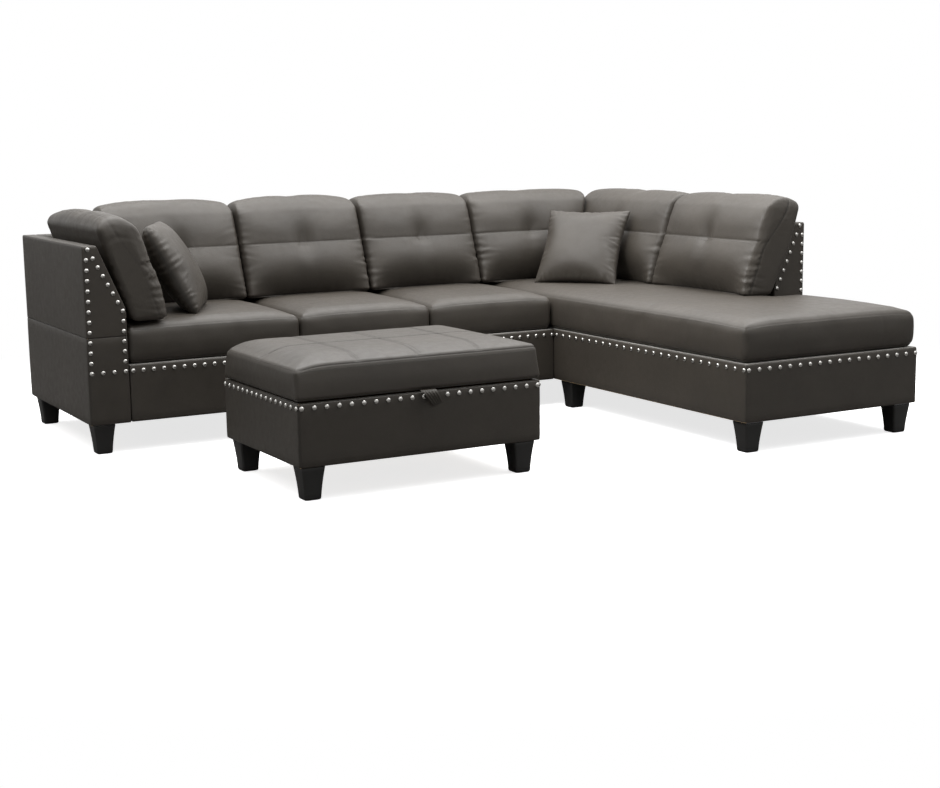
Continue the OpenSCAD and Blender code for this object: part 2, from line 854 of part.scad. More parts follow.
module corner_back_cover() {
    color(leather)
        difference() {
            to_rear()
                wall_cover(back_w, back_top_w, base_top, back_break_z, x_split, x_right - over);
            side_shape(base_top - over);
        }
}

module chaise_back_frame() {
    color(timber) {
        translate([x_right, 0, 0])
            mirror([1, 0, 0])
                wall_frame(side_w, side_top_w, base_top, back_break_z, y_side, y_rear, 4);
        to_rear()
            wall_frame(back_w, back_top_w, base_top, back_break_z, x_split, x_side, 2);
    }
}

module chaise_nails() {
    wall = wall_nails(side_w, side_top_w, base_top + nail_edge, back_break_z);
    front_a = [x_split + nail_edge, nail_z];
    front_b = [x_right - nail_edge, nail_z];
    front = row(front_a, front_b, steps(front_a, front_b, chaise_nail_pitch));
    left_a = [y_chaise + nail_edge, nail_z];
    left_b = [y_sofa - nail_edge - nail_h, nail_z];
    left = row(left_a, left_b, steps(left_a, left_b, chaise_left_pitch));
    color(chrome) {
        nails_on_front([for (p = wall) [x_right - p[0], p[1]]], y_side);
        nails_on_front(front, y_chaise);
        nails_on_left(left, x_split);
    }
}

// The chaise cushion is wider in front of the side back than beside it
chaise_x = [x_split + soft_gap, x_side - soft_gap, x_right - seat_inset];
chaise_y = [y_chaise + seat_inset, y_side - nail_h - soft_gap, y_back - soft_gap];

module chaise_core() {
    block([chaise_x[0] + core_inset, chaise_y[0] + core_inset, core_z0],
          [chaise_x[1] - core_inset, chaise_y[2] - core_inset, core_z1]);
    block([chaise_x[0] + core_inset, chaise_y[0] + core_inset, core_z0],
          [chaise_x[2] - core_inset, chaise_y[1] - core_inset, core_z1]);
}

// Marks from a to b: close together near both ends, and n even steps where the crown is full, w in
// from the ends
function spans(a, b, n, e, w) = concat(
    [a, a + e / 3, a + e],
    [for (i = [0 : n]) a + w + i * (b - a - 2 * w) / n],
    [b - e, b - e / 3, b]
);

// Distance from a point to the edge of the chaise cushion's plan
function plan_depth(x, y, gx, gy) = max(
    min(x - gx[0], gx[2] - x, y - gy[0], gy[1] - y),
    min(x - gx[0], gx[1] - x, y - gy[0], gy[2] - y)
);

// A seat cushion with an L-shaped plan. Its crown rises over the width crown_w from every edge.
module wide_cushion(gx, gy, z0, h, crown, edge = seat_edge, bulge = seat_bulge, crown_w = 160) {
    bx = [gx[0] + bulge, gx[1] - bulge, gx[2] - bulge];
    by = [gy[0] + bulge, gy[1] - bulge, gy[2] - bulge];
    left_marks = spans(bx[0], bx[1], 2, edge, crown_w);
    front_marks = spans(by[0], by[1], 2, edge, crown_w);
    right_marks = [bx[1] + edge / 3, (bx[1] + bx[2]) / 2, bx[2] - edge, bx[2] - edge / 3, bx[2]];
    rear_marks = concat([by[1] + edge / 3],
                        [for (i = [1 : 3]) by[1] + i * (by[2] - by[1] - crown_w) / 3],
                        [by[2] - edge, by[2] - edge / 3, by[2]]);
    xs = concat(left_marks, right_marks);
    ys = concat(front_marks, rear_marks);
    nx = len(xs);
    ny = len(ys);
    nl = len(left_marks) - 1;
    nf = len(front_marks) - 1;
    levels = [1, 0.5, -0.5, -1];
    last = len(levels) - 1;
    inside = function (i, j) i >= 0 && j >= 0 && i < nx - 1 && j < ny - 1 && (i < nl || j < nf);
    side_x = function (i, j) i == 0 ? -1 : (i == nx - 1 && j <= nf) || (i == nl && j >= nf) ? 1 : 0;
    side_y = function (i, j) j == 0 ? -1 : (j == ny - 1 && i <= nl) || (j == nf && i >= nl) ? 1 : 0;
    point = function (i, j, w)
        let (
            d = max(0, plan_depth(xs[i], ys[j], bx, by)),
            near = min(1, d / edge),
            far = 1 - min(1, d / crown_w),
            rise = sqrt(1 - (1 - near) * (1 - near)),
            top = h - edge * 0.7 * (1 - rise) + crown * (1 - far * far),
            low = edge * 0.4 * (1 - rise),
            out = bulge * (1 - w * w)
        )
        [xs[i] + side_x(i, j) * out, ys[j] + side_y(i, j) * out, z0 + low + (top - low) * (w + 1) / 2];
    index = function (m, i, j) (m * nx + i) * ny + j;
    points = [for (m = [0 : last], i = [0 : nx - 1], j = [0 : ny - 1]) point(i, j, levels[m])];
    cells = [for (i = [0 : nx - 2], j = [0 : ny - 2]) if (inside(i, j)) [i, j]];
    walls = [for (c = cells)
        let (i = c[0], j = c[1])
        each concat(
            inside(i, j - 1) ? [] : [[[i, j], [i + 1, j]]],
            inside(i + 1, j) ? [] : [[[i + 1, j], [i + 1, j + 1]]],
            inside(i, j + 1) ? [] : [[[i + 1, j + 1], [i, j + 1]]],
            inside(i - 1, j) ? [] : [[[i, j + 1], [i, j]]]
        )];
    at = function (m, c) index(m, c[0], c[1]);
    faces = concat(
        [for (c = cells)
            let (a = at(0, c), b = at(0, c + [1, 0]))
            each [[a, a + 1, b + 1], [a, b + 1, b]]],
        [for (c = cells)
            let (a = at(last, c), b = at(last, c + [1, 0]))
            each [[a, b + 1, a + 1], [a, b, b + 1]]],
        [for (m = [0 : last - 1], e = walls)
            each [[at(m, e[0]), at(m, e[1]), at(m + 1, e[1])],
                  [at(m, e[0]), at(m + 1, e[1]), at(m + 1, e[0])]]]
    );
    polyhedron(points = points, faces = faces, convexity = 4);
}

module chaise_seat_cushion() {
    color(leather_light)
        difference() {
            wide_cushion(chaise_x, chaise_y, seat_z, seat_top - seat_z, seat_crown);
            chaise_core();
        }
}

module chaise_foam_cores() {
    color(foam)
        chaise_core();
}

// Loose cushions. Each place is where the foot of the cushion's front stands, and each clearance is
// the room between a cushion's rear and the frame behind it.
back_clear = 12;
side_clear = 14;
arm_clear = 20;

// How far the arm cushion stands in from the sofa's front, how much lower it is than a back cushion,
// and how much thinner a side cushion's top is
arm_cushion_in = 8;
arm_cushion_less = 8;
side_top_less = 10;
back_foot_y = y_back - back_clear - back_cushion_d;
side_foot_x = x_side - side_clear - side_cushion_d;
arm_foot_x = x_left + arm_w + arm_clear + arm_cushion_d;
arm_cushion_y = y_sofa + arm_cushion_in;
arm_cushion_h = back_cushion_h - arm_cushion_less;
side_cushion_top_d = back_cushion_top_d - side_top_less;

// The back cushions meet a little left of where the seat cushions do, and their outer ends keep off
// the crowns of the arm and side cushions
crown_clear = 3;
back_shift = 20;
end_clear = back_crown + crown_clear;
back_2_x = x_seat + seat_1_w - back_shift;
back_x = [
    arm_foot_x + end_clear, back_2_x, back_2_x + back_2_w, back_2_x + back_2_w + back_3_w,
    side_foot_x - end_clear
];
corner_clear = 38;
side_cushion_gap = 4;
side_1_y = y_back - corner_clear;
side_2_y = side_1_y - side_1_l - side_cushion_gap;
arm_crown = back_crown * 0.8;
slant = 0.3;

// Height at which a loose cushion stands on a seat cushion from t0 to t1, where the edge of its foot
// lies at t. It follows the straight runs between the seat cushion's marks.
function stand_z(t, t0, t1) =
    let (
        half = (t1 - t0) / 2 - seat_bulge,
        runs = [for (m = marks(seat_steps, seat_edge / half)) [m, crown_at(m, 0)]]
    )
    seat_top + seat_crown * lookup((t - (t0 + t1) / 2) / half, runs) + rest_gap;

foot_in = cushion_edge * cushion_tuck;
back_z = stand_z(back_foot_y + foot_in, seat_y0, seat_y1);
arm_z = stand_z(arm_foot_x - foot_in, seat_x[0] + soft_gap, seat_x[1] - soft_gap);

module place_back(i) {
    translate([0, back_foot_y, i == 3 ? cushion_z : back_z])
        children();
}

// Front toward -X: the cushion's own +x runs along -Y
module place_side(y) {
    translate([side_foot_x, y, cushion_z])
        rotate([0, 0, -90])
            children();
}

// Front toward +X: the cushion's own +x runs along +Y
module place_arm() {
    translate([arm_foot_x, arm_cushion_y, arm_z])
        rotate([0, 0, 90])
            children();
}

function back_slant(i) = [i == 0 ? -slant : 0, i == 3 ? slant : 0];

module back_cushion_solid(i) {
    color(leather_light)
        difference() {
            place_back(i)
                back_cushion(back_x[i] + soft_gap, back_x[i + 1] - soft_gap, back_cushion_d,
                             back_cushion_top_d, back_cushion_h, lean, back_slant(i)[0], back_slant(i)[1]);
            back_cushion_core(i);
        }
}

module back_cushion_core(i) {
    place_back(i)
        back_fill(back_x[i], back_x[i + 1], back_cushion_d, back_cushion_top_d, back_cushion_h, lean,
                  back_slant(i)[0], back_slant(i)[1]);
}

side_cushion_y = [side_1_y, side_2_y];
side_cushion_l = [side_1_l, side_2_l];

module side_cushion_solid(i) {
    color(leather_light)
        difference() {
            place_side(side_cushion_y[i])
                back_cushion(0, side_cushion_l[i], side_cushion_d, side_cushion_top_d,
                             back_cushion_h, lean);
            side_cushion_core(i);
        }
}

module side_cushion_core(i) {
    place_side(side_cushion_y[i])
        back_fill(0, side_cushion_l[i], side_cushion_d, side_cushion_top_d, back_cushion_h, lean);
}

module arm_cushion_core() {
    place_arm()
        back_fill(0, arm_cushion_l, arm_cushion_d, arm_cushion_d, arm_cushion_h, arm_lean);
}

module arm_cushion() {
    color(leather_light)
        difference() {
            place_arm()
                back_cushion(0, arm_cushion_l, arm_cushion_d, arm_cushion_d, arm_cushion_h,
                             arm_lean, crown = arm_crown);
            arm_cushion_core();
        }
}

module arm_cushion_fill() {
    color(fibre_white)
        arm_cushion_core();
}

module back_cushion_1() { back_cushion_solid(0); }
module back_cushion_2() { back_cushion_solid(1); }
module back_cushion_3() { back_cushion_solid(2); }
module back_cushion_4() { back_cushion_solid(3); }
module side_cushion_1() { side_cushion_solid(0); }
module side_cushion_2() { side_cushion_solid(1); }

module fill_colour() {
    color(fibre_white)
        children();
}

module back_cushion_1_fill() { fill_colour() back_cushion_core(0); }
module back_cushion_2_fill() { fill_colour() back_cushion_core(1); }
module back_cushion_3_fill() { fill_colour() back_cushion_core(2); }
module back_cushion_4_fill() { fill_colour() back_cushion_core(3); }
module side_cushion_1_fill() { fill_colour() side_cushion_core(0); }
module side_cushion_2_fill() { fill_colour() side_cushion_core(1); }

// A square knife-edged pillow: its bottom edge's middle at the origin, leaning toward +Y
module pillow(tilt) {
    seam = 1.5;
    pinch = 0.07;
    half = pillow_w / 2;
    place = function (u, v, w)
        let (puff = pow((1 - u * u) * (1 - v * v), 0.55))
        [
            half * u * (1 - pinch * (1 - v * v)),
            half + half * v * (1 - pinch * (1 - u * u)),
            w * (seam + (pillow_t / 2 - seam) * puff)
        ];
    rotate([90 - tilt, 0, 0])
        soft_solid(marks(5, 0.16), marks(5, 0.16), [1, -1], place);
}

// The throw pillows stand on their bottom seams, a little clear of the crown because they belly out.
// Each offset runs from the foot of the cushion beside it, from the sofa's front and from the crown.
arm_pillow_off = [188, 241, 0.3];
corner_pillow_off = [-202, 201, 0.9];
arm_pillow_at = [arm_foot_x, y_sofa, cushion_z] + arm_pillow_off;
corner_pillow_at = [side_foot_x, y_sofa, cushion_z] + corner_pillow_off;

module arm_pillow() {
    color(leather_light)
        translate(arm_pillow_at)
            rotate([0, 0, -arm_pillow_turn])
                pillow(arm_pillow_lean);
}

module corner_pillow() {
    color(leather_light)
        translate(corner_pillow_at)
            rotate([0, 0, -corner_pillow_turn])
                pillow(corner_pillow_lean);
}

// The storage ottoman: its distances from the sectional's left side and from the sofa's front, and
// its front left corner on the floor plan
ottoman_in = 320;
ottoman_gap = 443;
ottoman_x = x_left + ottoman_in;
ottoman_y = y_sofa - ottoman_gap - ottoman_w;
ottoman_a = [ottoman_x, ottoman_y];
ottoman_b = [ottoman_x + ottoman_l, ottoman_y + ottoman_w];
box_top = base_z + box_h;
lid_z = box_top + lid_gap;
ottoman_leg_points = [for (x = [ottoman_a[0] + leg_inset, ottoman_b[0] - leg_inset],
                           y = [ottoman_a[1] + leg_inset, ottoman_b[1] - leg_inset]) [x, y]];

module ottoman_long_walls() {
    color(timber)
        for (y = [ottoman_a[1] + cover_t, ottoman_b[1] - cover_t - wall_t])
            block([ottoman_a[0] + cover_t, y, base_z], [ottoman_b[0] - cover_t, y + wall_t, box_top]);
}

module ottoman_end_walls() {
    y0 = ottoman_a[1] + cover_t + wall_t;
    y1 = ottoman_b[1] - cover_t - wall_t;
    color(timber)
        for (x = [ottoman_a[0] + cover_t, ottoman_b[0] - cover_t - wall_t])
            block([x, y0, base_z], [x + wall_t, y1, box_top]);
}

floor_t = stud_l + dust_t + over;

module ottoman_floor() {
    inset = cover_t + wall_t;
    color(timber)
        difference() {
            block([ottoman_a[0] + inset, ottoman_a[1] + inset, base_z],
                  [ottoman_b[0] - inset, ottoman_b[1] - inset, base_z + floor_t]);
            for (p = ottoman_leg_points)
                translate([p[0], p[1], base_z - over])
                    cylinder(r = stud_r + stud_clear, h = floor_t);
        }
}

module ottoman_cover() {
    color(leather)
        base_cover(ottoman_a, ottoman_b, base_z, box_top);
}

module ottoman_legs() {
    color(black_wood)
        for (p = ottoman_leg_points)
            leg(p);
}

module ottoman_leg_plates() {
    color(steel)
        for (p = ottoman_leg_points)
            leg_plate(p);
}

box_nail_drop = 15;

// A row of nails along a side of the ottoman's box from a to b
function box_row(a, b) =
    let (
        p = [a + nail_edge, box_top - box_nail_drop],
        q = [b - nail_edge, box_top - box_nail_drop]
    )
    row(p, q, steps(p, q, ottoman_nail_pitch));

module ottoman_nails() {
    long_row = box_row(ottoman_a[0], ottoman_b[0]);
    end_row = box_row(ottoman_a[1], ottoman_b[1]);
    color(chrome) {
        nails_on_front(long_row, ottoman_a[1]);
        nails_on_left(end_row, ottoman_a[0]);
        translate([ottoman_a[0] + ottoman_b[0], 0, 0])
            mirror([1, 0, 0])
                nails_on_left(end_row, ottoman_a[0]);
    }
}

// Two butt hinges at the rear: leaves between the wall's top and the lid, knuckles outside. Length,
// inset from the ottoman's ends, the knuckles' clearance from the box, the leaves' clearance from
// each other, how far a leaf reaches in and how far it laps the knuckles' tongues.
hinge_l = 75;
hinge_inset = 120;
knuckle_clear = 0.6;
leaf_clear = 0.3;
leaf_w = 22;
leaf_lap = 3;
leaf_lip = 1;
hinge_x = [ottoman_a[0] + hinge_inset, ottoman_b[0] - hinge_inset];
hinge_y = ottoman_b[1] + knuckle_r + knuckle_clear;
hinge_z = box_top + lid_gap / 2;
leaf_t = lid_gap / 2 - leaf_clear;
knuckle_gap = 0.4;
knuckle_n = 5;
knuckle_l = hinge_l / knuckle_n;

// The knuckles of one leaf, bored for the pin
module knuckles(x, first) {
    for (i = [first : 2 : knuckle_n - 1])
        translate([x - hinge_l / 2 + i * knuckle_l + knuckle_gap / 2, hinge_y, hinge_z])
            rotate([0, 90, 0])
                cylinder(r = knuckle_r, h = knuckle_l - knuckle_gap);
}

module leaf(x, z0, z1, first) {
    for (i = [first : 2 : knuckle_n - 1])
        let (x0 = x - hinge_l / 2 + i * knuckle_l + knuckle_gap / 2)
            block([x0, ottoman_b[1] - leaf_lap, z0], [x0 + knuckle_l - knuckle_gap, hinge_y, z1]);
    block([x - hinge_l / 2, ottoman_b[1] - leaf_w, z0], [x + hinge_l / 2, ottoman_b[1] - leaf_lip, z1]);
}

module pin_bore(x, r) {
    translate([x - hinge_l / 2 - over, hinge_y, hinge_z])
        rotate([0, 90, 0])
            cylinder(r = r, h = hinge_l + 2 * over);
}

// Box leaves with their pins, and bumpers that hold the closed lid level
module ottoman_hinges() {
    color(steel)
        for (x = hinge_x) {
            difference() {
                union() {
                    knuckles(x, 0);
                    leaf(x, box_top, box_top + leaf_t, 0);
                }
                pin_bore(x, pin_r + pin_clear);
            }
            translate([x - hinge_l / 2, hinge_y, hinge_z])
                rotate([0, 90, 0])
                    cylinder(r = pin_r, h = hinge_l);
        }
}

module lid_hinges() {
    color(steel)
        for (x = hinge_x)
            difference() {
                union() {
                    knuckles(x, 1);
                    leaf(x, lid_z - leaf_t, lid_z, 1);
                }
                pin_bore(x, pin_r + pin_clear);
            }
}

// Inset of the lid's board, and the radius and side bulge of the lid's cushion
board_inset = 14;
lid_edge = 24;
lid_bulge = 4;

module lid_board() {
    color(timber)
        block([ottoman_a[0] + board_inset, ottoman_a[1] + board_inset, lid_z],
              [ottoman_b[0] - board_inset, ottoman_b[1] - board_inset, lid_z + board_t]);
}

module lid_cushion() {
    color(leather_light)
        difference() {
            union() {
                box_cushion(ottoman_a, ottoman_b, lid_z, lid_h, lid_crown, lid_edge, lid_bulge);
                tab_root();
            }
            block([ottoman_a[0] + board_inset, ottoman_a[1] + board_inset, lid_z - over],
                  [ottoman_b[0] - board_inset, ottoman_b[1] - board_inset, lid_z + board_t]);
        }
}

// A folded leather tab that hangs askew from its root on the lid's front edge. Its middle's distance
// from the lid's middle, its clearance from the nails, the height of its fold above the lid's foot,
// and the height and slot of its root.
tab_off = 8;
tab_clear = 0.6;
tab_rise = 8;
root_h = 8;
root_slot = 0.3;
tab_x = ottoman_a[0] + ottoman_l / 2 + tab_off;
tab_y = ottoman_a[1] - nail_h - tab_clear - tab_t / 2;
tab_top = lid_z + tab_rise;

module tab_root() {
    block([tab_x - tab_w / 2, tab_y - tab_t / 2, tab_top + root_slot],
          [tab_x + tab_w / 2, ottoman_a[1] + board_inset - over, tab_top + root_h]);
}

module pull_tab() {
    color(leather)
        translate([tab_x, tab_y + tab_t / 2, tab_top])
            rotate([90, 0, 0])
                linear_extrude(height = tab_t)
                    polygon([[-tab_w / 2, 0], [tab_w / 2, 0],
                             [tab_w / 2 + tab_skew, -tab_l], [tab_skew - tab_w / 2, -tab_l]]);
}

sofa_base_cover();
sofa_base_frame();
sofa_springs();
sofa_seat_deck();
sofa_dust_cover();
sofa_legs();
sofa_leg_plates();
arm_lower_cover();
arm_upper_cover();
arm_frame();
sofa_back_cover();
sofa_back_frame();
sofa_nails();
connector_jaws();
seat_cushion(0);  // seat_cushion_1
seat_cushion(1);  // seat_cushion_2
seat_cushion(2);  // seat_cushion_3
seat_foam_cores();
chaise_base_cover();
chaise_base_frame();
chaise_springs();
chaise_seat_deck();
chaise_dust_cover();
chaise_legs();
chaise_leg_plates();
side_back_cover();
corner_back_cover();
chaise_back_frame();
chaise_nails();
connector_bars();
chaise_seat_cushion();
chaise_foam_cores();
arm_cushion();
arm_cushion_fill();
back_cushion_1();
back_cushion_1_fill();
back_cushion_2();
back_cushion_2_fill();
back_cushion_3();
back_cushion_3_fill();
back_cushion_4();
back_cushion_4_fill();
side_cushion_1();
side_cushion_1_fill();
side_cushion_2();
side_cushion_2_fill();
arm_pillow();
corner_pillow();
ottoman_long_walls();
ottoman_end_walls();
ottoman_floor();
ottoman_cover();
ottoman_legs();
ottoman_leg_plates();
ottoman_nails();
ottoman_hinges();
lid_board();
lid_cushion();
lid_hinges();
pull_tab();
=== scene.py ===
# Looks for the leather-look sectional and its storage ottoman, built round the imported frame.
import json
import math

import bpy
import numpy as np
from bpy.props import FloatProperty, FloatVectorProperty, IntProperty, PointerProperty
from bpy.types import Operator, Panel, PropertyGroup
from mathutils import Matrix, Vector
from mathutils.bvhtree import BVHTree


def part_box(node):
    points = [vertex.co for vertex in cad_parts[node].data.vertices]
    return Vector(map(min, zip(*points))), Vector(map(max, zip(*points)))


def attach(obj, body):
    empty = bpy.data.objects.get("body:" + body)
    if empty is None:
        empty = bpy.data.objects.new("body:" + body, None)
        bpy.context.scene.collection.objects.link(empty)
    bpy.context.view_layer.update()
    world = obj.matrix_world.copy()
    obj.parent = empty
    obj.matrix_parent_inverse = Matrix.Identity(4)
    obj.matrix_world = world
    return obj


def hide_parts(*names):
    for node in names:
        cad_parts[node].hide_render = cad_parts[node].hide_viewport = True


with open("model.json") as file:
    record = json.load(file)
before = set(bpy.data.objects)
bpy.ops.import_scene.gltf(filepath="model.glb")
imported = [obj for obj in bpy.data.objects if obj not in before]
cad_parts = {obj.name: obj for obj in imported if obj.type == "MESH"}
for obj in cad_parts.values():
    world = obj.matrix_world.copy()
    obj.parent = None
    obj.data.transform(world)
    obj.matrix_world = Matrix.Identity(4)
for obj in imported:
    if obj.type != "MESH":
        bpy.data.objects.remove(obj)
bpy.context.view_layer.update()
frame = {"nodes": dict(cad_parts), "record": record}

bl_info = {
    "name": "Sectional sofa looks",
    "version": (1, 0, 0),
    "blender": (4, 5, 0),
    "location": "View3D > Sidebar > Sofa",
    "description": "Builds the upholstery, trim and stage of the sectional round its packed frame",
    "category": "Object",
}

NODES = frame["nodes"]

# Plan and levels of the frame, in metres
X_LEFT, X_SEAT, X_SPLIT, X_SIDE, X_RIGHT = -1.315, -1.171, 0.548, 1.171, 1.315
Y_CHAISE, Y_SIDE, Y_SOFA, Y_BACK, Y_REAR = -1.001, -0.387, 0.195, 0.855, 1.005
BASE_Z, BASE_TOP, ARM_SEAM_Z, FRAME_H = 0.106, 0.306, 0.407, 0.720
ARM_W, ARM_TOP_W, ARM_BREAK_Z = 0.144, 0.050, 0.500
SIDE_W, SIDE_TOP_W = 0.144, 0.062
BACK_W, BACK_TOP_W, BACK_BREAK_Z = 0.150, 0.060, 0.480
OTTOMAN_A, OTTOMAN_B = (-0.995, -0.858), (-0.159, -0.248)
BOX_TOP, LID_Z, LID_SEAM_Z, LID_CROWN = 0.299, 0.304, 0.410, 0.024
TAB_X, TAB_W, TAB_L, TAB_SKEW, TAB_TOP = -0.569, 0.046, 0.050, 0.036, 0.307
# How deep the leather bands and backs reach: 2 mm short of the solids' rear face
LEATHER_REAR = Y_REAR - 0.002
# Seat cushions: their top seam, and the crown that the loose pieces stand on
SEAT_SEAM_Z = BASE_TOP + 0.134
SEAT_TOP = SEAT_SEAM_Z + 0.014
# Leaning cushions: depth at the foot, height, lean, and where the feet of each row stand
BACK_DEPTH, SIDE_DEPTH, ARM_DEPTH = 0.200, 0.182, 0.141
ROW_H, ROW_LEAN, ROW_CROWN, SEAM_LEVEL = 0.350, 0.38, 0.026, 0.59
SIDE_LENGTHS, SIDE_GAP = (0.645, 0.605), 0.004
BACK_FOOT_Y = Y_BACK - 0.012 - BACK_DEPTH
SIDE_FOOT_X = X_SIDE - 0.014 - SIDE_DEPTH
ARM_FOOT_X = X_SEAT + 0.020 + ARM_DEPTH
# A row of stitches runs this far below a top seam, from points this far apart
STITCH_DROP, STITCH_STEP = 0.013, 0.01
# Two lengths closer than this are the same
SAME = 1e-6

# Each soft piece leaves its stitched lines here: (body, points)
stitched = []
# Cloth pieces that wait for the simulation: (object, start, free points, cap, finish)
waiting = []


def length_property(name, description, default, low, high):
    return FloatProperty(name=name, description=description, default=default, min=low, max=high,
                         unit="LENGTH")


def colour_property(name, description, default):
    return FloatVectorProperty(name=name, description=description, default=default, size=3,
                               min=0.0, max=1.0, subtype="COLOR")


class SofaSizes(PropertyGroup):
    cell: length_property(
        "Cushion cell", "Size of a mesh cell on the cushions before smoothing", 0.0115, 0.008, 0.03)
    pressure: FloatProperty(
        name="Filling pressure", description="Pressure of the filling on the cushion leather",
        default=4.0, min=0.0, max=10.0)
    slack: FloatProperty(
        name="Leather slack", description="Spare leather in a cushion panel, as a share of its width",
        default=0.013, min=0.0, max=0.1, subtype="FACTOR")
    seam_depth: length_property(
        "Seam depth", "How far a seam draws the leather in", 0.0026, 0.0, 0.006)
    fold_height: length_property(
        "Fold height", "Height of the gathers beside a seam", 0.0031, 0.0, 0.008)
    stitch_pitch: length_property(
        "Stitch pitch", "Distance from one stitch to the next", 0.0065, 0.004, 0.02)
    stitch_length: length_property(
        "Stitch length", "Length of one stitch", 0.0048, 0.002, 0.012)
    thread_radius: length_property(
        "Thread radius", "Radius of the sewing thread", 0.0006, 0.0003, 0.001)
    nail_radius: length_property(
        "Nail radius", "Radius of a nail head", 0.0082, 0.003, 0.010)
    nail_height: length_property(
        "Nail height", "Height of a nail head's dome", 0.0046, 0.002, 0.005)
    nail_sides: IntProperty(
        name="Nail sides", description="Facets round a nail head", default=14, min=8, max=24)


class SofaColours(PropertyGroup):
    body_leather: colour_property(
        "Frame leather", "Leather over the base, arm and backs", (0.043, 0.0365, 0.029))
    cushion_leather: colour_property(
        "Cushion leather", "Leather of the cushions, pillows and lid", (0.048, 0.041, 0.033))
    thread: colour_property("Thread", "Sewing thread", (0.050, 0.045, 0.038))
    leg: colour_property("Leg wood", "Black stained wood of the legs", (0.006, 0.0056, 0.005))
    timber: colour_property(
        "Frame timber", "Timber and plywood inside the upholstery", (0.52, 0.37, 0.21))
    felt: colour_property("Felt", "Felt deck over the springs", (0.26, 0.25, 0.23))
    dust_cloth: colour_property("Dust cloth", "Black cloth under the bases", (0.02, 0.02, 0.02))
    steel: colour_property("Steel", "Springs, plates, hinges and connectors", (0.50, 0.50, 0.52))
    nail: colour_property("Nail chrome", "Polished chrome of the nail heads", (0.45, 0.44, 0.42))
    floor: colour_property("Floor", "Studio floor", (0.90, 0.90, 0.90))


def sizes():
    return bpy.context.scene.sofa_sizes


def colours():
    return bpy.context.scene.sofa_colours


# ---------- node trees and materials

class Nodes:
    """A node tree with short calls for making its nodes and joining them."""

    def __init__(self, tree):
        self.tree = tree
        self.tree.nodes.clear()

    def add(self, kind, sockets=None, **settings):
        """A new node. Its settings come first, then what each of its input sockets gets."""
        made = self.tree.nodes.new(kind)
        for key, value in settings.items():
            setattr(made, key, value)
        for key, value in (sockets or {}).items():
            self.give(made.inputs[key], value)
        return made

    def give(self, socket, value):
        """Joins the socket to another node's output, or sets it to a plain value."""
        if isinstance(value, bpy.types.NodeSocket):
            self.tree.links.new(value, socket)
        elif isinstance(value, tuple) and len(value) < len(socket.default_value):
            socket.default_value = (*value, 1)
        else:
            socket.default_value = value

    def shaders(self, share, a, b):
        """Shader a where the share is 0 and b where it is 1."""
        return self.add("ShaderNodeMixShader", {0: share, 1: a, 2: b}).outputs[0]


class Shader(Nodes):
    """A material's node tree, ending in one Principled surface."""

    def __init__(self, name):
        self.material = bpy.data.materials.new(name)
        self.material.use_nodes = True
        super().__init__(self.material.node_tree)
        self.surface = self.add("ShaderNodeBsdfPrincipled")
        self.add("ShaderNodeOutputMaterial", {"Surface": self.surface.outputs[0]})

    def place(self, scale=(1, 1, 1)):
        """Object coordinates, scaled."""
        where = self.add("ShaderNodeTexCoord").outputs["Object"]
        return self.add("ShaderNodeMapping", {"Scale": scale, "Vector": where}).outputs["Vector"]

    def noise(self, where, scale, detail=3.0, rough=0.5):
        return self.add("ShaderNodeTexNoise", {"Scale": scale, "Detail": detail, "Roughness": rough,
                                               "Vector": where}).outputs["Fac"]

    def cells(self, where, scale, feature="DISTANCE_TO_EDGE"):
        return self.add("ShaderNodeTexVoronoi", {"Scale": scale, "Vector": where},
                        feature=feature).outputs["Distance"]

    def ramp(self, value, stops):
        """A colour ramp over the value. Each stop is a place and a colour."""
        made = self.add("ShaderNodeValToRGB", {"Fac": value})
        while len(made.color_ramp.elements) < len(stops):
            made.color_ramp.elements.new(0.5)
        for element, (at, colour) in zip(made.color_ramp.elements, stops):
            element.position = at
            element.color = (*colour, 1)
        return made.outputs["Color"]

    def span(self, value, low, high, start=0.0, end=1.0):
        """The value from start to end, as one from low to high."""
        return self.add("ShaderNodeMapRange", {
            "From Min": start, "From Max": end, "To Min": low, "To Max": high,
            "Value": value}).outputs["Result"]

    def maths(self, operation, a, b):
        return self.add("ShaderNodeMath", {0: a, 1: b}, operation=operation).outputs[0]

    def blend(self, share, a, b, mode="MIX"):
        """Colour a where the share is 0 and b where it is 1. 6, 7 and 2 are the colour sockets."""
        return self.add("ShaderNodeMix", {0: share, 6: a, 7: b}, data_type="RGBA",
                        blend_type=mode).outputs[2]

    def attribute(self, name):
        return self.add("ShaderNodeAttribute", attribute_name=name).outputs["Fac"]

    def bump(self, heights):
        """Bumps stacked from coarse to fine. Each is a height, a strength and a distance."""
        before = {}
        for height, strength, distance in heights:
            made = self.add("ShaderNodeBump", {"Strength": strength, "Distance": distance,
                                               "Height": height, **before})
            before = {"Normal": made.outputs[0]}
        self.give(self.surface.inputs["Normal"], before["Normal"])

    def finish(self, **values):
        """Sets the surface's own sockets, named with _ for each space, and gives the material."""
        for key, value in values.items():
            self.give(self.surface.inputs[key.replace("_", " ")], value)
        return self.material


def shade(colour, factor):
    return tuple(min(1.0, c * factor) for c in colour)


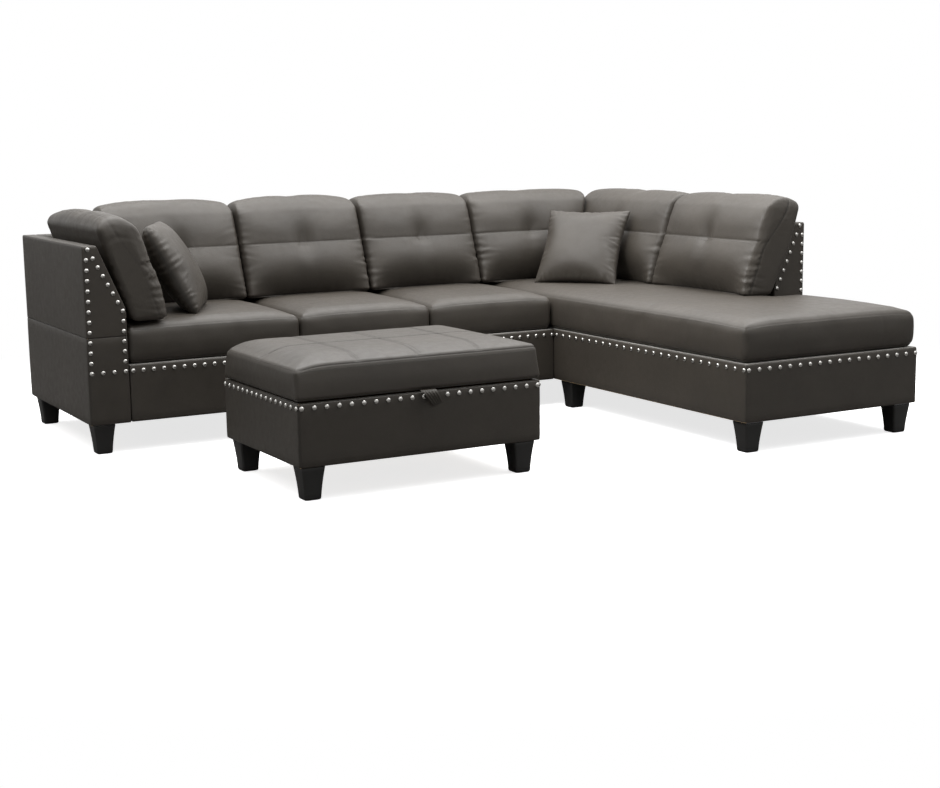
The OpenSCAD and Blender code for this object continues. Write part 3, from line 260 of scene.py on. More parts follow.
def leather_material(name, colour):
    """Grained leather-look hide: pebble grain, soft mottling and duller seams, with painted shade
    darkening the colour along the seams.
    """
    s = Shader(name)
    where = s.place()
    mottle = s.ramp(s.noise(where, 5.0, 4.0, 0.55),
                    [(0.30, shade(colour, 0.86)), (0.52, colour), (0.74, shade(colour, 1.13))])
    pores = s.cells(where, 620.0)
    pore_tint = s.span(pores, 0.80, 1.0, 0.0, 0.16)
    grained = s.blend(1.0, mottle, pore_tint, "MULTIPLY")
    # The seam attribute carries painted shade: it darkens the colour along the seams and the channel,
    # where the grooves fall into shade, and makes the leather duller there.
    seam = s.attribute("seam")
    base = s.blend(s.span(seam, 0.0, 0.72), grained, shade(colour, 0.22))
    sheen_map = s.noise(where, 38.0, 3.0, 0.6)
    rough = s.maths("ADD", s.span(sheen_map, 0.46, 0.56, 0.3, 0.7), s.span(seam, 0.0, 0.2))
    s.bump([
        (s.noise(where, 14.0, 3.0, 0.5), 0.25, 0.004),
        (s.noise(where, 90.0, 2.0, 0.5), 0.16, 0.0012),
        (pores, 0.35, 0.0005),
    ])
    return s.finish(Base_Color=base, Roughness=rough, Specular_IOR_Level=0.38)


def thread_material(name, colour):
    """Twisted sewing thread."""
    s = Shader(name)
    twist = s.noise(s.place(), 1600.0, 1.0)
    tint = s.ramp(twist, [(0.3, shade(colour, 0.7)), (0.7, colour)])
    s.bump([(twist, 0.4, 0.0003)])
    return s.finish(Base_Color=tint, Roughness=0.6)


def wood_material(name, colour, stretch, rough, contrast=0.22):
    """Straight-grained wood: long fibres, growth bands and fine pores."""
    s = Shader(name)
    where = s.place(stretch)
    bands = s.noise(where, 9.0, 5.0, 0.62)
    tint = s.ramp(bands, [(0.28, shade(colour, 1 - contrast)), (0.5, colour),
                          (0.72, shade(colour, 1 + contrast))])
    pores = s.noise(where, 90.0, 2.0)
    base = s.blend(s.span(pores, 0.0, 0.35, 0.45, 0.75), tint, shade(colour, 0.6))
    s.bump([(bands, 0.12, 0.001), (pores, 0.22, 0.0004)])
    return s.finish(Base_Color=base, Roughness=s.span(bands, rough - 0.06, rough + 0.08, 0.3, 0.7))


def metal_material(name, colour, rough, brushed=(1, 1, 1)):
    """Steel or chrome with drawn lines or fine marks, and a little dulling."""
    s = Shader(name)
    where = s.place(brushed)
    lines = s.noise(where, 420.0, 2.0)
    dull = s.noise(s.place(), 22.0, 3.0)
    tint = s.ramp(dull, [(0.3, shade(colour, 0.88)), (0.7, colour)])
    s.bump([(lines, 0.08, 0.0002)])
    return s.finish(Base_Color=tint, Metallic=1.0,
                    Roughness=s.span(lines, rough * 0.8, rough * 1.25, 0.3, 0.7))


def cloth_material(name, colour, weave_scale, fuzz=0.2, rough=0.9):
    """Woven or felted cloth."""
    s = Shader(name)
    where = s.place()
    weave = s.maths("MULTIPLY", *(
        s.add("ShaderNodeTexWave", {"Scale": weave_scale, "Distortion": 1.2, "Vector": where},
              wave_type="BANDS", bands_direction=way).outputs["Fac"] for way in "XY"))
    fibres = s.noise(where, 300.0, 4.0, 0.7)
    tint = s.ramp(fibres, [(0.3, shade(colour, 1 - fuzz)), (0.7, shade(colour, 1 + fuzz))])
    base = s.blend(s.span(weave, 0.0, 0.25), tint, shade(colour, 0.7))
    s.bump([(weave, 0.3, 0.0008), (fibres, 0.25, 0.0005)])
    return s.finish(Base_Color=base, Roughness=rough, Sheen_Weight=0.15)


def foam_material(name, colour, scale):
    """Open-celled foam, or with a small scale loose fibre."""
    s = Shader(name)
    where = s.place()
    pores = s.cells(where, scale, "F1")
    tint = s.ramp(pores, [(0.1, shade(colour, 0.75)), (0.6, colour)])
    s.bump([(pores, 0.4, 0.001)])
    return s.finish(Base_Color=tint, Roughness=0.95)


# Each slot of the record: the finish's maker, its material's name, its colour or the property that
# holds the colour, and what else the maker takes
FINISHES = {
    "body_leather": (leather_material, "body_leather", "body_leather"),
    "cushion_leather": (leather_material, "cushion_leather", "cushion_leather"),
    "timber": (wood_material, "frame_timber", "timber", (1.0, 0.12, 1.0), 0.7),
    "black_wood": (wood_material, "black_wood", "leg", (1.0, 1.0, 0.1), 0.52, 0.3),
    "felt": (cloth_material, "deck_felt", "felt", 40.0, 0.25),
    "dust_cloth": (cloth_material, "dust_cloth", "dust_cloth", 260.0),
    "steel": (metal_material, "brushed_steel", "steel", 0.34, (0.1, 1.0, 1.0)),
    "nail_chrome": (metal_material, "nail_chrome", "nail", 0.22),
    "foam": (foam_material, "foam", (0.85, 0.75, 0.50), 700.0),
    "fibre": (foam_material, "fibre_filling", (0.90, 0.90, 0.88), 160.0),
    "thread": (thread_material, "sewing_thread", "thread"),
}
made_finishes = {}


def finish_for(slot):
    """The material of one slot of the record, or of the thread, made once."""
    if slot not in made_finishes:
        maker, name, colour, *more = FINISHES[slot]
        if isinstance(colour, str):
            colour = tuple(getattr(colours(), colour))
        made_finishes[slot] = maker(name, colour, *more)
    return made_finishes[slot]


# ---------- forms

def spaced(a, b, step, edge):
    """Grid lines from a to b: four short cells over each edge, even ones between."""
    edge = min(edge, (b - a) / 3)
    fine = [a + edge * k / 4 for k in range(4)]
    n = max(2, round((b - a - 2 * edge) / step))
    middle = [a + edge + (b - a - 2 * edge) * k / n for k in range(n + 1)]
    return np.array(fine + middle + [a + b - x for x in reversed(fine)])


# The four sides of a cell in plan: the way to the next cell there, and the side's corners
CELL_SIDES = (
    ((0, -1), ((0, 0, 0), (1, 0, 0), (1, 0, 1), (0, 0, 1))),
    ((0, 1), ((1, 1, 0), (0, 1, 0), (0, 1, 1), (1, 1, 1))),
    ((-1, 0), ((0, 1, 0), (0, 0, 0), (0, 0, 1), (0, 1, 1))),
    ((1, 0), ((1, 0, 0), (1, 1, 0), (1, 1, 1), (1, 0, 1))),
)


def shell_grid(counts, inside=None):
    """Grid points on the outside of the cells of a block, as rows of three counts, and outward quads.
    inside(i, j) says which columns of cells are there."""
    nx, ny, nz = counts
    index, points, quads = {}, [], []

    def there(i, j):
        return 0 <= i < nx and 0 <= j < ny and (inside is None or inside(i, j))

    def at(*key):
        if key not in index:
            index[key] = len(points)
            points.append(key)
        return index[key]

    for i in range(nx):
        for j in range(ny):
            if not there(i, j):
                continue
            quads.append(tuple(at(i + a, j + b, nz) for a, b in ((0, 0), (1, 0), (1, 1), (0, 1))))
            quads.append(tuple(at(i + a, j + b, 0) for a, b in ((0, 0), (0, 1), (1, 1), (1, 0))))
            for k in range(nz):
                for (di, dj), corners in CELL_SIDES:
                    if not there(i + di, j + dj):
                        quads.append(tuple(at(i + a, j + b, k + c) for a, b, c in corners))
    return np.array(points), quads


def ring_quads(rings, count, first=0, closed=False):
    """Quads between stacked rings of count points, from point first on. A closed stack ends where it
    began."""
    quads = []
    for r in range(rings if closed else rings - 1):
        a, b = first + r * count, first + (r + 1) % rings * count
        quads += [(a + c, a + (c + 1) % count, b + (c + 1) % count, b + c) for c in range(count)]
    return quads


def rounded(q, low, high, radii):
    """Points of a block's surface, moved onto the block with rounded edges, and their directions.
    radii holds a radius for the low and the high side of each axis."""
    r_low, r_high = np.array(radii, float)[:, 0], np.array(radii, float)[:, 1]
    core = np.clip(q, low + r_low, high - r_high)
    d = q - core
    r = np.where(d < 0, r_low, r_high)
    e = d / r
    n = e / np.maximum(np.linalg.norm(e, axis=1, keepdims=True), 1e-9)
    return core + n * r, n


def mesh_object(name, points, quads):
    mesh = bpy.data.meshes.new(name)
    mesh.from_pydata([tuple(map(float, p)) for p in points], [], quads)
    mesh.update()
    made = bpy.data.objects.new(name, mesh)
    bpy.context.scene.collection.objects.link(made)
    return made


def rows_of(items, key):
    """One vector of each item of a mesh, as rows of three."""
    out = np.zeros(len(items) * 3, np.float32)
    items.foreach_get(key, out)
    return out.reshape(-1, 3).astype(float)


def coordinates(obj):
    return rows_of(obj.data.vertices, "co")


def directions(obj):
    return rows_of(obj.data.vertices, "normal")


def set_coordinates(obj, co):
    obj.data.vertices.foreach_set("co", co.astype(np.float32).ravel())
    obj.data.update()


def set_layer(obj, name, values):
    """Keeps a number or a vector for each point under a name."""
    kind, key = ("FLOAT", "value") if values.ndim == 1 else ("FLOAT_VECTOR", "vector")
    layer = obj.data.attributes.get(name) or obj.data.attributes.new(name, kind, "POINT")
    layer.data.foreach_set(key, values.astype(np.float32).ravel())


def get_vector(obj, name):
    return rows_of(obj.data.attributes[name].data, "vector")


def push_out(obj, co, normal, shift, floor):
    """Moves the points along their directions, none of them below the floor."""
    co = co + normal * shift[:, None]
    co[:, 2] = np.maximum(co[:, 2], floor)
    set_coordinates(obj, co)


def baked(obj):
    """The object's mesh with its modifiers applied and none left."""
    graph = bpy.context.evaluated_depsgraph_get()
    mesh = bpy.data.meshes.new_from_object(obj.evaluated_get(graph), preserve_all_data_layers=True,
                                           depsgraph=graph)
    old = obj.data
    obj.modifiers.clear()
    obj.data = mesh
    bpy.data.meshes.remove(old)
    mesh.name = obj.name
    return obj


def subdivided(obj, levels=1):
    made = obj.modifiers.new("smooth", "SUBSURF")
    made.levels = made.render_levels = levels
    return baked(obj)


def waves(co, seed, scale, height):
    """Slow undulation of stretched leather: six sine waves of random direction, about scale long."""
    rng = np.random.default_rng(seed)
    total = np.zeros(len(co))
    for _ in range(6):
        direction = rng.normal(size=3)
        direction /= np.linalg.norm(direction)
        wave = scale * rng.uniform(0.6, 1.6)
        total += np.sin(co @ direction * 2 * math.pi / wave + rng.uniform(0, 6.28))
    return height * total / 6


def gathers(along, away, seed, start, end, spacing, reach, width=0.0075):
    """Folds that run away from a seam and die out: ridges with a valley beside them. They lie from
    start to end along the seam, about spacing apart."""
    rng = np.random.default_rng(seed)
    total = np.zeros(len(along))
    at = start + spacing * rng.uniform(0.2, 0.8)
    while at < end:
        w = width * rng.uniform(0.7, 1.5)
        tilt = rng.uniform(-0.4, 0.4)
        length = reach * rng.uniform(0.35, 1.3)
        t = (along - at - tilt * away) / w
        out = np.maximum(away, 0)
        fade = np.exp(-(out / length) ** 1.6) * (1 - np.exp(-out / 0.004))
        ridge = np.exp(-t * t) - 0.75 * np.exp(-(t - 1.5) ** 2)
        total += rng.uniform(0.35, 1.0) * ridge * fade
        at += spacing * rng.uniform(0.55, 1.6)
    return total


def keep_piece(obj, body, slot, *nodes):
    """Gives a finished piece the material of its slot, smooth shading and its body, and hides the CAD
    nodes that it stands for.
    """
    obj.data.materials.clear()
    obj.data.materials.append(finish_for(slot))
    obj.data.shade_smooth()
    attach(obj, body)
    if nodes:
        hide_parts(*nodes)
    return obj


def stitch_line(obj, body, points, lift=0.0002):
    """Lays a line of stitches on the finished surface nearest to the points."""
    tree = BVHTree.FromPolygons([v.co for v in obj.data.vertices],
                                [tuple(p.vertices) for p in obj.data.polygons])
    line = []
    for p in points:
        near, normal, _, _ = tree.find_nearest(Vector(p))
        line.append(near + normal * lift)
    stitched.append((body, line))


# ---------- cloth

# The filling is simulated for this many frames
CLOTH_FRAMES = 20


def cloth_ready(obj, pinned, cap, finish, shrink=None):
    """Gives a soft piece its cloth. pinned holds each point's share of hold, 1 where it stays. cap is
    the furthest that a point may move, and finish(obj) is called on the filled piece."""
    group = obj.vertex_groups.new(name="held")
    for level in np.unique(np.round(pinned, 2)):
        if level > 0:
            rows = np.nonzero(np.abs(pinned - level) < 0.006)[0]
            group.add([int(r) for r in rows], float(level), "REPLACE")
    cloth = obj.modifiers.new("cloth", "CLOTH")
    s = cloth.settings
    s.quality = 4
    s.mass = 0.35
    s.tension_stiffness = s.compression_stiffness = 18
    s.shear_stiffness = 8
    s.bending_stiffness = 0.6
    s.tension_damping = s.compression_damping = 12
    s.air_damping = 4
    s.vertex_group_mass = "held"
    s.pin_stiffness = 1.0
    s.use_pressure = True
    s.uniform_pressure_force = sizes().pressure
    s.shrink_min = -(sizes().slack if shrink is None else shrink)
    s.effector_weights.gravity = 0
    cloth.collision_settings.use_collision = False
    cloth.collision_settings.use_self_collision = False
    cloth.point_cache.frame_start = 1
    cloth.point_cache.frame_end = CLOTH_FRAMES
    waiting.append((obj, coordinates(obj), pinned < 0.99, cap, finish))


def evened(obj, move, free, rounds=9):
    """The moves of an object's points, averaged with their neighbours' so that small creases go."""
    ends = np.zeros(len(obj.data.edges) * 2, np.int32)
    obj.data.edges.foreach_get("vertices", ends)
    ends = ends.reshape(-1, 2)
    count = np.bincount(ends.ravel(), minlength=len(move))
    for _ in range(rounds):
        total = np.zeros_like(move)
        np.add.at(total, ends[:, 0], move[ends[:, 1]])
        np.add.at(total, ends[:, 1], move[ends[:, 0]])
        move = (move + total / np.maximum(count, 1)[:, None]) / 2 * free[:, None]
    return move


def settle_cloth():
    """Runs the simulation once for all the soft pieces, and applies it with their moves capped."""
    if not waiting:
        raise RuntimeError("no soft piece is ready for the filling")
    scene = bpy.context.scene
    for number in range(1, CLOTH_FRAMES + 1):
        scene.frame_set(number)
        bpy.context.view_layer.update()
    for obj, start, free, cap, finish in waiting:
        baked(obj)
        move = evened(obj, coordinates(obj) - start, free)
        far = np.linalg.norm(move, axis=1, keepdims=True)
        set_coordinates(obj, start + move * np.minimum(1, cap / np.maximum(far, 1e-9)))
        obj.vertex_groups.clear()
        finish(obj)
    scene.frame_set(1)
    waiting.clear()


# ---------- padded frames

def wall_width(z, low_w, top_w, z_break):
    return np.interp(z, [z_break, FRAME_H], [low_w, top_w])


def padded_wall(name, low, high, shape, radii, seed, cell=0.022):
    """A closed upholstered panel on a block, drawn to its real shape by shape(points)."""
    low, high = np.array(low), np.array(high)
    lines = [spaced(low[a], high[a], cell, max(radii[a])) for a in range(3)]
    grid, quads = shell_grid([len(line) - 1 for line in lines])
    q = np.stack([lines[a][grid[:, a]] for a in range(3)], axis=1)
    p, n = rounded(q, low, high, radii)
    middle = np.prod(1 - np.abs(2 * (p - low) / (high - low) - 1) ** 4 * (np.abs(n) < 0.9), axis=1)
    p = p + n * (waves(p, seed, 0.35, 0.0006) - 0.0008 * (1 - middle))[:, None]
    return mesh_object(name, shape(p), quads)


def outline(a, b, corners, step):
    """A rounded rectangle from corner a to b, anticlockwise: points and outward directions.
    corners are the radii at (a0, a1), (b0, a1), (b0, b1) and (a0, b1)."""
    centres = [(a[0] + corners[0], a[1] + corners[0]), (b[0] - corners[1], a[1] + corners[1]),
               (b[0] - corners[2], b[1] - corners[2]), (a[0] + corners[3], b[1] - corners[3])]
    points, normals = [], []
    for k in range(4):
        start = math.pi + k * math.pi / 2
        for m in range(7):
            angle = start + m * math.pi / 12
            n = (math.cos(angle), math.sin(angle))
            points.append((centres[k][0] + corners[k] * n[0], centres[k][1] + corners[k] * n[1]))
            normals.append(n)
        nxt = (k + 1) % 4
        angle = start + math.pi / 2
        n = (math.cos(angle), math.sin(angle))
        p0 = np.array(points[-1])
        p1 = np.array(centres[nxt]) + corners[nxt] * np.array(n)
        count = max(1, round(float(np.linalg.norm(p1 - p0)) / step))
        for m in range(1, count):
            points.append(tuple(p0 + (p1 - p0) * m / count))
            normals.append(n)
    return np.array(points), np.array(normals)


def band(name, a, b, z0, z1, corners, foot_r, top_r, seed, lip=False, wall=0.0038, step=0.02):
    """A band of leather round a base, with rounded edges, a soft surface and an inner face. With a lip
    it folds in over the tops of the front and end walls."""
    plan, normals = outline(a, b, corners, step)

    def arc(r, t):
        return r - math.sqrt(max(0.0, r * r - (r - t) ** 2))

    profile = []
    for k in range(6):
        t = min(wall, foot_r) * (1 - k / 5)
        profile.append((t, z0 + arc(foot_r, t)))
    rises = max(3, round((z1 - z0) / 0.02))
    for k in range(1, rises):
        profile.append((0.0, z0 + foot_r + (z1 - z0 - foot_r - top_r) * k / rises))
    for k in range(6):
        t = min(wall, top_r) * k / 5
        profile.append((t, z1 - arc(top_r, t)))
    profile.append((wall, z1 - arc(top_r, min(wall, top_r))))
    profile.append((wall, (z0 + z1) / 2))
    profile.append((wall, z0 + arc(foot_r, min(wall, foot_r))))
    kept = []
    for p in profile:
        if not kept or abs(p[0] - kept[-1][0]) + abs(p[1] - kept[-1][1]) > SAME:
            kept.append(p)
    if abs(kept[0][0] - kept[-1][0]) + abs(kept[0][1] - kept[-1][1]) < SAME:
        kept.pop()
    rows, count = len(kept), len(plan)
    points = []
    for t, z in kept:
        ring = plan - normals * t
        points.append(np.column_stack([ring, np.full(count, z)]))
    points = np.concatenate(points)
    outward = np.column_stack([np.tile(normals, (rows, 1)), np.zeros(rows * count)])
    height = np.repeat([z for _, z in kept], count)
    depth = np.repeat([t for t, _ in kept], count)
    v = 2 * (height - z0) / (z1 - z0) - 1
    sink = np.where(depth < wall * 0.9, waves(points, seed, 0.3, 0.0005) - 0.0007 - 0.0009 * v ** 8, 0)
    points = points + outward * sink[:, None]
    quads = ring_quads(rows, count, closed=True)
    points = points.tolist()
    if lip:
        outer, inner, low, high = 0.0036, 0.0205, z1 - 0.0006, z1 + 0.0009
        x0, y0, x1, y1 = a[0] + outer, a[1] + outer, b[0] - outer, b[1] - outer
        turned = inner - outer
        ring = [(x0, y1), (x0, y0), (x1, y0), (x1, y1), (x1 - turned, y1),
                (x1 - turned, y0 + turned), (x0 + turned, y0 + turned), (x0 + turned, y1)]
        first, n = len(points), len(ring)
        points += [(x, y, low) for x, y in ring] + [(x, y, high) for x, y in ring]
        quads += [tuple(first + k for k in (c, (c + 1) % n, (c + 1) % n + n, c + n))
                  for c in range(n)]
        for p, q, r, t in ((0, 1, 6, 7), (1, 2, 5, 6), (2, 3, 4, 5)):
            quads.append((first + n + p, first + n + q, first + n + r, first + n + t))
            quads.append((first + t, first + r, first + q, first + p))
    obj = mesh_object(name, points, quads)
    near = np.minimum.reduce([
        np.hypot(plan[:, 0] - x, plan[:, 1] - y) - r * (math.sqrt(2) - 1)
        for x, y, r in zip((a[0], b[0], b[0], a[0]), (a[1], a[1], b[1], b[1]), corners)])
    # Painted shade along the band's rounded corner seams, kept in the seam attribute.
    seam_shade = np.tile(0.55 * seam_share(near, 0.0022), rows)
    set_layer(obj, "seam", np.concatenate([seam_shade, np.zeros(len(points) - rows * count)]))
    return obj


class SOFA_OT_bases(Operator):
    """Leather bands round the two bases, the arm's foot and the ottoman's box"""
    bl_idname = "sofa.bases"
    bl_label = "Base covers"

    def execute(self, context):
        gap = 0.0005
        # Name, body, node, plan from corner a to b, foot and top, corner radii, and edge radii
        rows = [
            ("sofa_base_leather", "sofa_section", "sofa_base_cover",
             (X_SEAT + gap, Y_SOFA), (X_SPLIT - gap, LEATHER_REAR), BASE_Z, BASE_TOP,
             (0.0045, 0.0045, 0.0045, 0.0045), 0.008, 0.006),
            ("arm_lower_leather", "sofa_section", "arm_lower_cover",
             (X_LEFT, Y_SOFA), (X_SEAT - gap, LEATHER_REAR), BASE_Z, ARM_SEAM_Z - 0.0002,
             (0.010, 0.0045, 0.0045, 0.005), 0.004, 0.003),
            ("chaise_base_leather", "chaise_section", "chaise_base_cover",
             (X_SPLIT + gap, Y_CHAISE), (X_RIGHT, LEATHER_REAR), BASE_Z, BASE_TOP,
             (0.008, 0.012, 0.005, 0.0045), 0.008, 0.007),
            ("ottoman_box_leather", "ottoman", "ottoman_cover",
             OTTOMAN_A, OTTOMAN_B, BASE_Z, BOX_TOP,
             (0.010, 0.010, 0.010, 0.010), 0.004, 0.005),
        ]
        for seed, (name, body, node, *form) in enumerate(rows, 100):
            made = band(name, *form, seed, lip=body == "ottoman")
            keep_piece(made, body, "body_leather", node)
        return {"FINISHED"}


class SOFA_OT_walls(Operator):
    """Upholstered upper arm and backs"""
    bl_idname = "sofa.walls"
    bl_label = "Arm and backs"

    def execute(self, context):
        gap, tucked = 0.0006, -0.0004
        rear, seat_on = LEATHER_REAR, 0.0016

        def arm(p):
            share = (p[:, 0] - X_LEFT) / ARM_W
            p[:, 0] = X_LEFT + share * wall_width(p[:, 2], ARM_W, ARM_TOP_W, ARM_BREAK_Z)
            return p

        def side(p):
            share = (X_RIGHT - p[:, 0]) / SIDE_W
            p[:, 0] = X_RIGHT - share * wall_width(p[:, 2], SIDE_W, SIDE_TOP_W, BACK_BREAK_Z)
            return p

        def back(x0, x1):
            def shape(p):
                share = (rear - p[:, 1]) / BACK_W
                p[:, 1] = rear - share * wall_width(p[:, 2], BACK_W, BACK_TOP_W, BACK_BREAK_Z)
                start, end = x0(p[:, 2]), x1(p[:, 2])
                u = (p[:, 0] - p[:, 0].min()) / (p[:, 0].max() - p[:, 0].min())
                p[:, 0] = start + (end - start) * u
                return p
            return shape

        def arm_face(z):
            upper = X_LEFT + wall_width(z, ARM_W, ARM_TOP_W, ARM_BREAK_Z)
            return np.where(z < ARM_SEAM_Z, X_SEAT, upper) + tucked

        def side_face(z):
            return X_RIGHT - wall_width(z, SIDE_W, SIDE_TOP_W, BACK_BREAK_Z) - tucked

        def flat(x):
            return lambda z: np.full(len(z), x)

        # Edge radii at the front and top, at the rear, and where two pieces meet
        soft, behind, tight = 0.011, 0.007, 0.004
        level = BASE_TOP - seat_on
        back_radii = ((tight, tight), (soft, behind), (tight, soft))
        # Name, body, node, low and high corner of the block, its real shape, and its edge radii
        rows = [
            ("arm_upper_leather", "sofa_section", "arm_upper_cover",
             (X_LEFT, Y_SOFA, ARM_SEAM_Z - seat_on), (X_SEAT, rear, FRAME_H), arm,
             ((0.010, 0.006), (0.007, behind), (0.003, soft))),
            ("sofa_back_leather", "sofa_section", "sofa_back_cover",
             (X_SEAT, rear - BACK_W, level), (X_SPLIT, rear, FRAME_H),
             back(arm_face, flat(X_SPLIT - gap)), back_radii),
            ("side_back_leather", "chaise_section", "side_back_cover",
             (X_SIDE, Y_SIDE, level), (X_RIGHT, rear, FRAME_H), side,
             ((0.006, 0.010), (0.007, behind), (tight, soft))),
            ("corner_back_leather", "chaise_section", "corner_back_cover",
             (X_SPLIT, rear - BACK_W, level), (X_SIDE, rear, FRAME_H),
             back(flat(X_SPLIT + gap), side_face), back_radii),
        ]
        for seed, (name, body, node, *form) in enumerate(rows, 120):
            made = padded_wall(name, *form, seed)
            keep_piece(made, body, "body_leather", node)
        return {"FINISHED"}


# ---------- seat cushions and lid

def flat_pad(name, plan, z0, z1, radius, tall, crown, crown_w):
    """The shell of a flat box cushion, with its points' block places, their distance in from the side
    and which are on top and on the foot. plan holds one or two rectangles ((x0, y0), (x1, y1)) that
    share their low corner. Its edges are rounded by radius in plan and by tall in height, and its top
    rises by crown over the crown_w next to its edge."""
    step = sizes().cell
    (x0, y0), (x1, y1) = plan[0]
    xs, ys = spaced(x0, x1, step, radius), spaced(y0, y1, step, radius)
    inside = None
    if len(plan) == 2:
        wide_x, wide_y = plan[1][1]
        more_x = spaced(x1, wide_x, step, min(radius, (wide_x - x1) / 3))[1:]
        nx0, xs = len(xs) - 1, np.concatenate([xs, more_x])
        lower = spaced(y0, wide_y, step, radius)
        upper = spaced(wide_y, y1, step, radius)[1:]
        ny0, ys = len(lower) - 1, np.concatenate([lower, upper])

        def inside(i, j):
            return i < nx0 or j < ny0
    zs = spaced(z0, z1, step, tall)
    grid, quads = shell_grid([len(xs) - 1, len(ys) - 1, len(zs) - 1], inside)
    reach = np.array([radius, radius, tall])
    q = np.stack([xs[grid[:, 0]], ys[grid[:, 1]], zs[grid[:, 2]]], axis=1)
    best, near, edge = np.full(len(q), np.inf), q, np.full(len(q), -1.0)
    for a, b in plan:
        low, high = np.array([*a, z0]), np.array([*b, z1])
        core = np.clip(q, low + reach, high - reach)
        far = np.linalg.norm((q - core) / reach, axis=1)
        near = np.where((far < best)[:, None], core, near)
        best = np.minimum(far, best)
        edge = np.maximum(edge, np.minimum(q - low, high - q)[:, :2].min(axis=1))
    n = (q - near) / reach / np.maximum(best, 1e-9)[:, None]
    p = near + n * reach
    rise = 1 - (1 - np.clip(edge / crown_w, 0, 1)) ** 2
    p[:, 2] += crown * rise * np.clip(n[:, 2], 0, 1)
    obj = mesh_object(name, p, quads)
    return obj, q, edge, grid[:, 2] == len(zs) - 1, grid[:, 2] == 0


def round_corner(co, x, y, inward, r):
    """Rounds the plan corner at (x, y) by r, one radius for each point. inward holds the signs of the
    way from the corner into the block, along x and y."""
    dx, dy = r - (co[:, 0] - x) * inward[0], r - (co[:, 1] - y) * inward[1]
    near = (dx > 0) & (dy > 0)
    scale = np.where(near, np.maximum(dx, dy) / np.maximum(np.hypot(dx, dy), 1e-9), 1.0)
    co[:, 0] = np.where(near, x + (r - dx * scale) * inward[0], co[:, 0])
    co[:, 1] = np.where(near, y + (r - dy * scale) * inward[1], co[:, 1])


def seam_share(distance, width=0.004):
    """1 on a seam, dying out over about its width."""
    return np.exp(-(distance / width) ** 2)


class SOFA_OT_seats(Operator):
    """Seat cushions and the long chaise cushion, which stand for their foam too, ready for the filling
    """
    bl_idname = "sofa.seats"
    bl_label = "Seat cushions"

    def execute(self, context):
        for i in range(3):
            node = f"seat_cushion_{i + 1}"
            low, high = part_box(node)
            self.cushion(node + "_leather", "sofa_section", [((low.x, low.y), (high.x, high.y))],
                         low.z, node, "seat_foam_cores", 30 + i)
        low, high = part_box("chaise_seat_cushion")
        plan = [((low.x, low.y), (X_SIDE - 0.0006, high.y)),
                ((low.x, low.y), (high.x, Y_SIDE - 0.0046))]
        self.cushion("chaise_cushion_leather", "chaise_section", plan, low.z, "chaise_seat_cushion",
                     "chaise_foam_cores", 40)
        return {"FINISHED"}

    def cushion(self, name, body, plan, z0, node, core, seed):
        """One seat cushion over the plan, from z0 up. The chaise's has a second rectangle."""
        inset, seam_top = 0.0005, SEAT_SEAM_Z
        plan = [((a[0] + inset, a[1] + inset), (b[0] - inset, b[1] - inset)) for a, b in plan]
        obj, q, edge, on_top, on_foot = flat_pad(name, plan, z0, seam_top, radius=0.020, tall=0.033,
                                                 crown=0.0125, crown_w=0.16)
        set_layer(obj, "form", np.column_stack([edge, q[:, 2] - z0, seam_top - q[:, 2]]))
        pinned = np.select([on_foot, on_top & (edge < SAME)], [1.0, 0.5], 0.0)
        (near_x, near_y), far_x = plan[0][0], plan[-1][1][0]
        block = coordinates(obj)
        end_d = np.minimum(block[:, 0] - near_x, far_x - block[:, 0])
        front_d = block[:, 1] - near_y
        droop = 0.008 * np.exp(-(end_d / 0.085) ** 2) * np.exp(-(front_d / 0.16) ** 2)
        level = np.clip((block[:, 2] - z0) / (seam_top - z0), 0, 1)
        block[:, 2] -= droop * level ** 2
        if len(plan) == 2:
            bulge = np.exp(-((far_x - block[:, 0]) / 0.05) ** 2)
            block[:, 0] += 0.010 * bulge * np.sin(level * math.pi) ** 0.6
        set_coordinates(obj, block)

        def finish(made):
            subdivided(made)
            edge_d, above, below = get_vector(made, "form").T
            co, normal = coordinates(made), directions(made)
            seam_d, foot_d = np.hypot(edge_d, below), np.hypot(edge_d, above)
            along = co[:, 0] + co[:, 1]
            side = np.where(edge_d < 0.001, 1.0, 0.0)
            height = sizes().fold_height
            side_folds = gathers(along, below, seed, -3.0, 3.0, spacing=0.10, reach=0.03, width=0.012)
            top_folds = gathers(along, edge_d, seed + 5, -3.0, 3.0, spacing=0.11, reach=0.05,
                                width=0.014)
            shift = -sizes().seam_depth * (0.22 * seam_share(seam_d) + seam_share(foot_d))
            shift += side * height * 0.16 * side_folds
            shift += waves(co, seed, 0.26, 0.0011) * np.clip(above / 0.05, 0, 1)
            shift += (1 - side) * np.clip(normal[:, 2], 0, 1) * height * 0.14 * top_folds
            push_out(made, co, normal, shift, z0)
            # Painted shade along the top seam and, stronger, along the foot seam where the cushion
            # meets the base.
            seam_shade = 0.3 * seam_share(seam_d, 0.003) + 0.7 * seam_share(foot_d, 0.003)
            set_layer(made, "seam", np.clip(seam_shade, 0, 1))
            out, end, row_z = 0.002, 0.03, seam_top - STITCH_DROP
            if name.startswith("chaise"):
                stitch_line(made, body, [(near_x - out, y, row_z)
                                         for y in np.arange(near_y + end, Y_SOFA, STITCH_STEP)])
            stitch_line(made, body, [(x, near_y - out, row_z)
                                     for x in np.arange(near_x + end, far_x - end, STITCH_STEP)])
            keep_piece(made, body, "cushion_leather", node, core)

        cloth_ready(obj, pinned, cap=0.006, finish=finish, shrink=0.006)


